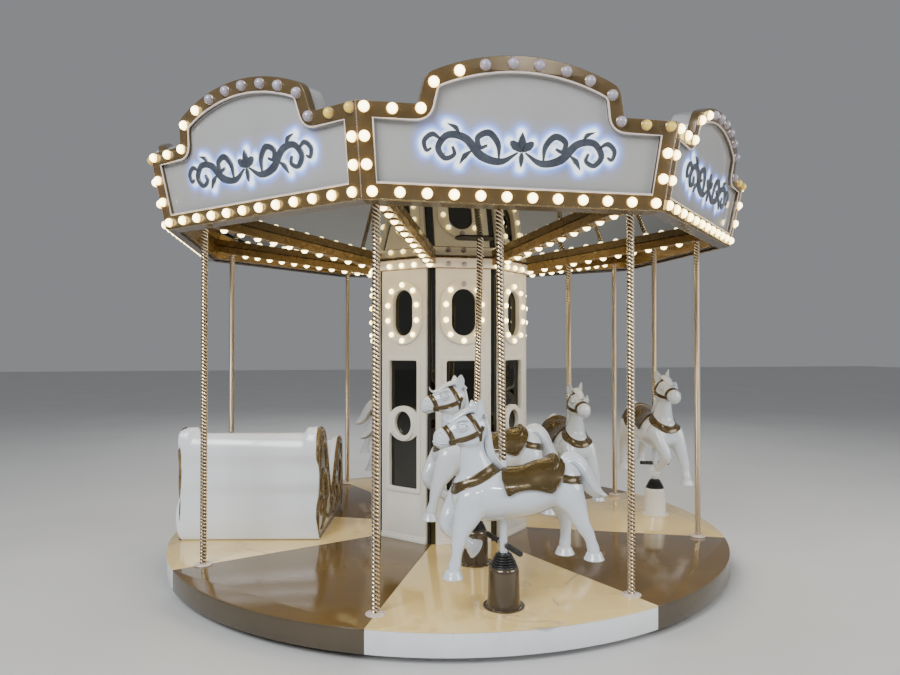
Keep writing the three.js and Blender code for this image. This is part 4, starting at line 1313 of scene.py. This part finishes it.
# C and S scrolls with leaves, in the style of a carved rococo panel, each with its widths
SCROLLS = [
    ([(90, 60), (170, 70), (230, 150), (210, 250), (130, 270), (90, 210), (130, 165), (165, 195)],
        [6, 15, 20, 20, 17, 14, 11, 8]),
    ([(215, 130), (290, 180), (330, 300), (290, 430), (200, 470), (130, 430), (130, 350), (185, 330),
        (205, 372)], [5, 14, 20, 22, 19, 16, 13, 10, 7]),
    ([(300, 420), (330, 520), (290, 640), (210, 710), (120, 690), (90, 610), (140, 560), (190, 600),
        (172, 640)], [5, 14, 19, 20, 18, 15, 12, 9, 6]),
    ([(70, 480), (100, 540), (80, 600)], [3, 12, 3]),
    ([(250, 680), (210, 745), (140, 762), (70, 725)], [4, 15, 14, 3]),
    ([(330, 120), (420, 80), (530, 90), (590, 150), (560, 205), (500, 190), (510, 145)],
        [5, 14, 19, 17, 13, 10, 6]),
    ([(620, 60), (720, 60), (820, 110), (850, 200), (800, 270), (720, 250), (710, 185), (760, 165)],
        [5, 16, 20, 20, 17, 14, 10, 6]),
    ([(840, 180), (930, 210), (1010, 300), (1010, 410), (940, 470), (870, 430), (880, 360), (940, 360)],
        [5, 15, 20, 20, 17, 13, 10, 6]),
    ([(960, 470), (1040, 500), (1060, 555), (1010, 586), (960, 558), (980, 525)], [5, 14, 14, 11, 9, 5]),
    ([(900, 70), (980, 100), (1060, 180), (1080, 280)], [3, 14, 15, 3]),
    ([(340, 320), (390, 400), (380, 500)], [3, 13, 3]),
    ([(250, 60), (300, 110), (380, 130)], [3, 13, 3]),
]
SHELL_BACK = [
    (60, 4), (22, 40), (8, 120), (16, 220), (32, 330), (22, 440), (18, 560), (12, 680), (26, 730), (70, 756),
]
SHELL_REST = [
    (112, 744), (128, 715), (134, 620), (146, 500), (150, 392), (560, 390), (566, 372), (560, 300), (560, 54),
    (1016, 54), (1044, 84), (1050, 200), (1044, 540), (1062, 594), (1094, 570), (1104, 470), (1102, 150),
    (1096, 60), (1050, 4),
]
# the sheet that wraps the back: its side view, and how far its side edges stand out at some heights
WRAP = [
    (26, 1), (4, 14), (-6, 60), (-8, 130), (-4, 210), (12, 322), (2, 424), (10, 530), (-8, 645), (2, 730),
    (30, 788), (74, 814), (126, 819), (176, 806),
]
WRAP_LEFT = [
    (0, 31), (14, 26), (46, 12), (85, 4), (160, -4), (240, 0), (278, 8), (316, 19), (355, 23), (430, 33),
    (510, 33), (600, 16), (660, 15), (740, 8), (775, 8), (795, 17), (808, 34), (819, 60),
]
WRAP_RIGHT = [
    (0, 12), (60, 4), (162, -12), (250, -10), (316, 0), (400, 8), (480, 8), (560, 0), (640, -12), (740, -15),
    (795, -14), (819, -24),
]
WRAP_INSIDE = (18, 40, 62, 72, 82, 92, 104, 120, 160, 240, 340, 440)


def inset_loop(points, by):
    """A line inside a closed outline by so much."""
    out = []
    for i, p in enumerate(points):
        along = direction(points, i, closed=True)
        out.append(p + Vector((-along.y, along.x, 0)) * by)
    return out


def end_plate(length, x, outward):
    """Carved end of the chariot. outward is the side that its scrolls are on."""
    scaled = lambda points: [(s * length / INNER_LENGTH, z) for s, z in points]
    outline = [(s, max(z, 0.0)) for s, z in flat_path(scaled(END_LINE), 3)]
    place = move(x, CHARIOT_REAR, ON_DECK) @ turn(90) @ UPRIGHT
    face = END_THICK if outward > 0 else 0
    form = Form()
    form.add(plate([outline], 0, END_THICK, 6, 2), "sheet", place)
    for ground in (REAR_GROUND, FRONT_GROUND):
        low = face - 1.5 + outward * 0.5
        loop = flat_path(scaled(ground + ground[:1]), 4)[:-1]
        form.add(plate([loop], low, low + 3), "border", place)
    edge = [Vector((s, z, face - outward * 6)) for s, z in outline]
    for inset, across, high in ((6, 15, 15), (32, 9, 8)):
        rim = sweep(inset_loop(edge, inset), (across, high), 10, closed=True, up=(0, 0, 1))
        form.add(rim, "scroll", place)
    for path, widths in SCROLLS:
        line = smooth_path([(s, z, face) for s, z in scaled(path)], 6)
        sizes = [1.5 * spread(widths, i, len(line)) for i in range(len(line))]
        form.add(sweep(line, [(w, max(3, w * 0.62)) for w in sizes], 10, up=(0, 0, 1)), "scroll", place)
    return form


def at_side(s, z, x):
    """A place on the chariot, from its side view and the distance across it."""
    share = (x - OUTER_X) / (INNER_X - OUTER_X)
    length = OUTER_LENGTH + (INNER_LENGTH - OUTER_LENGTH) * share
    return Vector((x, CHARIOT_REAR + s * length / INNER_LENGTH, ON_DECK + z))


def ease(x):
    """From 0 to 1, slowly at both ends."""
    t = max(0.0, min(1.0, x))
    return t * t * (3 - 2 * t)


def wrap_ring(p, along):
    """One ring of the sheet that wraps the back, with wavy side edges and a dip in the middle."""
    inward = Vector((along.y, -along.x, 0))
    left = OUTER_X - 19 + np.interp(p.y, *zip(*WRAP_LEFT))
    right = INNER_X + np.interp(p.y, *zip(*WRAP_RIGHT))
    dip = Vector((0, -44 * ease((p.y - 560) / 240), 0))
    across = [(left, 6), (left + 2, 2), (left + 7, 0)] + [(left + d, 0) for d in WRAP_INSIDE]
    across += [(right - d, 0) for d in WRAP_INSIDE[::-1]] + [(right - 7, 0), (right - 2, 2), (right, 6)]
    ring = []
    for x, depth in across:
        ring.append((x, p + inward * depth + dip * ease((min(x - left, right - x) - 62) / 42)))
    under = [(right - 2, 0), (right - 62, 0), (right - 104, 1)]
    under += [(left + 104, 1), (left + 62, 0), (left + 2, 0)]
    for x, dipped in under:
        ring.append((x, p + inward * 12 + dip * dipped))
    return [at_side(q.x, q.y, x) for x, q in ring]


def shell_form():
    """Back sheet, seat, floor and front sheet, between the two ends and over their rear edges."""
    side = flat_path(SHELL_BACK, 5) + flat_path(SHELL_REST, 3)
    ends = (OUTER_X + END_THICK + 0.3, INNER_X - END_THICK - 0.3)
    wrap = smooth_path(WRAP, 6)
    form = Form()
    form.add(skin([[at_side(s, z, x) for s, z in side] for x in ends]), "sheet")
    form.add(skin([wrap_ring(p, direction(wrap, i)) for i, p in enumerate(wrap)]), "sheet")
    return form


chariot = turn(CHARIOT_TURN)
piece("chariot_sheets", shell_form().mesh(45), chariot, ["chariot_shell"])
outer_end = end_plate(OUTER_LENGTH, OUTER_X, -1).mesh()
piece("chariot_side_outer", outer_end, chariot, ["chariot_end_outer"])
inner_end = end_plate(INNER_LENGTH, INNER_X - END_THICK, 1).mesh()
piece("chariot_side_inner", inner_end, chariot, ["chariot_end_inner"])


# Stage, light and camera, in metres
FLOOR_HALF = 40
# name, place, height that it faces on the axis, size, power and colour
STUDIO_LIGHTS = [
    ("key", (-4.5, -6.5, 6.0), 1.2, (4.0, 4.0), 640, (0.95, 0.975, 1)),
    ("fill", (6.0, -5.0, 4.0), 1.0, (4.0, 4.0), 300, (1, 0.98, 0.95)),
    ("rim", (1.5, 6.5, 6.5), 1.5, (4.0, 4.0), 360, WHITE),
    ("strip", (1.4, -6.2, 4.4), 0.9, (0.9, 0.12), 30, WHITE),
    ("strip_left", (-4.2, -4.6, 4.4), 0.9, (0.9, 0.12), 30, WHITE),
]
CAMERA_PLACE, CAMERA_LENS = (-1.0367, -5.4287, 1.6026), 27.36
CAMERA_YAW, CAMERA_PITCH = math.radians(10.95), math.radians(0.64)


def studio_floor():
    s = Surface("studio_floor", Roughness=0.55)
    s.feed("Base Color", s.ramp(s.noise(0.8), (0.3, (0.60, 0.60, 0.59)), (0.7, (0.64, 0.64, 0.63))))
    mesh = bpy.data.meshes.new("studio_floor")
    corners = [(x * FLOOR_HALF, y * FLOOR_HALF, 0) for x, y in ((-1, -1), (1, -1), (1, 1), (-1, 1))]
    mesh.from_pydata(corners, [], [(0, 1, 2, 3)])
    mesh.materials.append(s.mat)
    linked("studio_floor", mesh)


def aimed(name, data, place, forward):
    obj = linked(name, data)
    obj.location = place
    obj.rotation_euler = forward.to_track_quat("-Z", "Y").to_euler()
    return obj


def studio_light():
    world = bpy.data.worlds.new("studio")
    bpy.context.scene.world = world
    world.use_nodes = True
    back = world.node_tree.nodes["Background"]
    back.inputs["Color"].default_value = (0.62, 0.64, 0.67, 1)
    back.inputs["Strength"].default_value = 0.40
    for name, place, height, size, power, colour in STUDIO_LIGHTS:
        light = bpy.data.lights.new(name, "AREA")
        light.shape, light.energy, light.color = "RECTANGLE", power, colour
        light.size, light.size_y = size
        obj = aimed(name, light, place, Vector((0, 0, height)) - Vector(place))
        # the rim light would show as white spots in the deck's gloss
        obj.visible_glossy = name != "rim"


def canopy_glow():
    """Warm light that the lamps under the canopy give off, spread between the beams."""
    for k in range(8):
        light = bpy.data.lights.new("canopy_glow", "POINT")
        light.energy, light.color, light.shadow_soft_size = 10.5, (1, 0.74, 0.40), 0.18
        obj = linked("canopy_glow", light)
        obj.location = (*at(1.25, k * SECTOR), 2.12)
        obj.visible_glossy = False


def photo_camera():
    camera = bpy.data.cameras.new("camera")
    camera.sensor_width, camera.lens, camera.clip_end = 36, CAMERA_LENS, 200
    forward = Vector((math.sin(CAMERA_YAW), math.cos(CAMERA_YAW), math.tan(CAMERA_PITCH)))
    bpy.context.scene.camera = aimed("camera", camera, CAMERA_PLACE, forward)


studio_floor()
studio_light()
canopy_glow()
photo_camera()
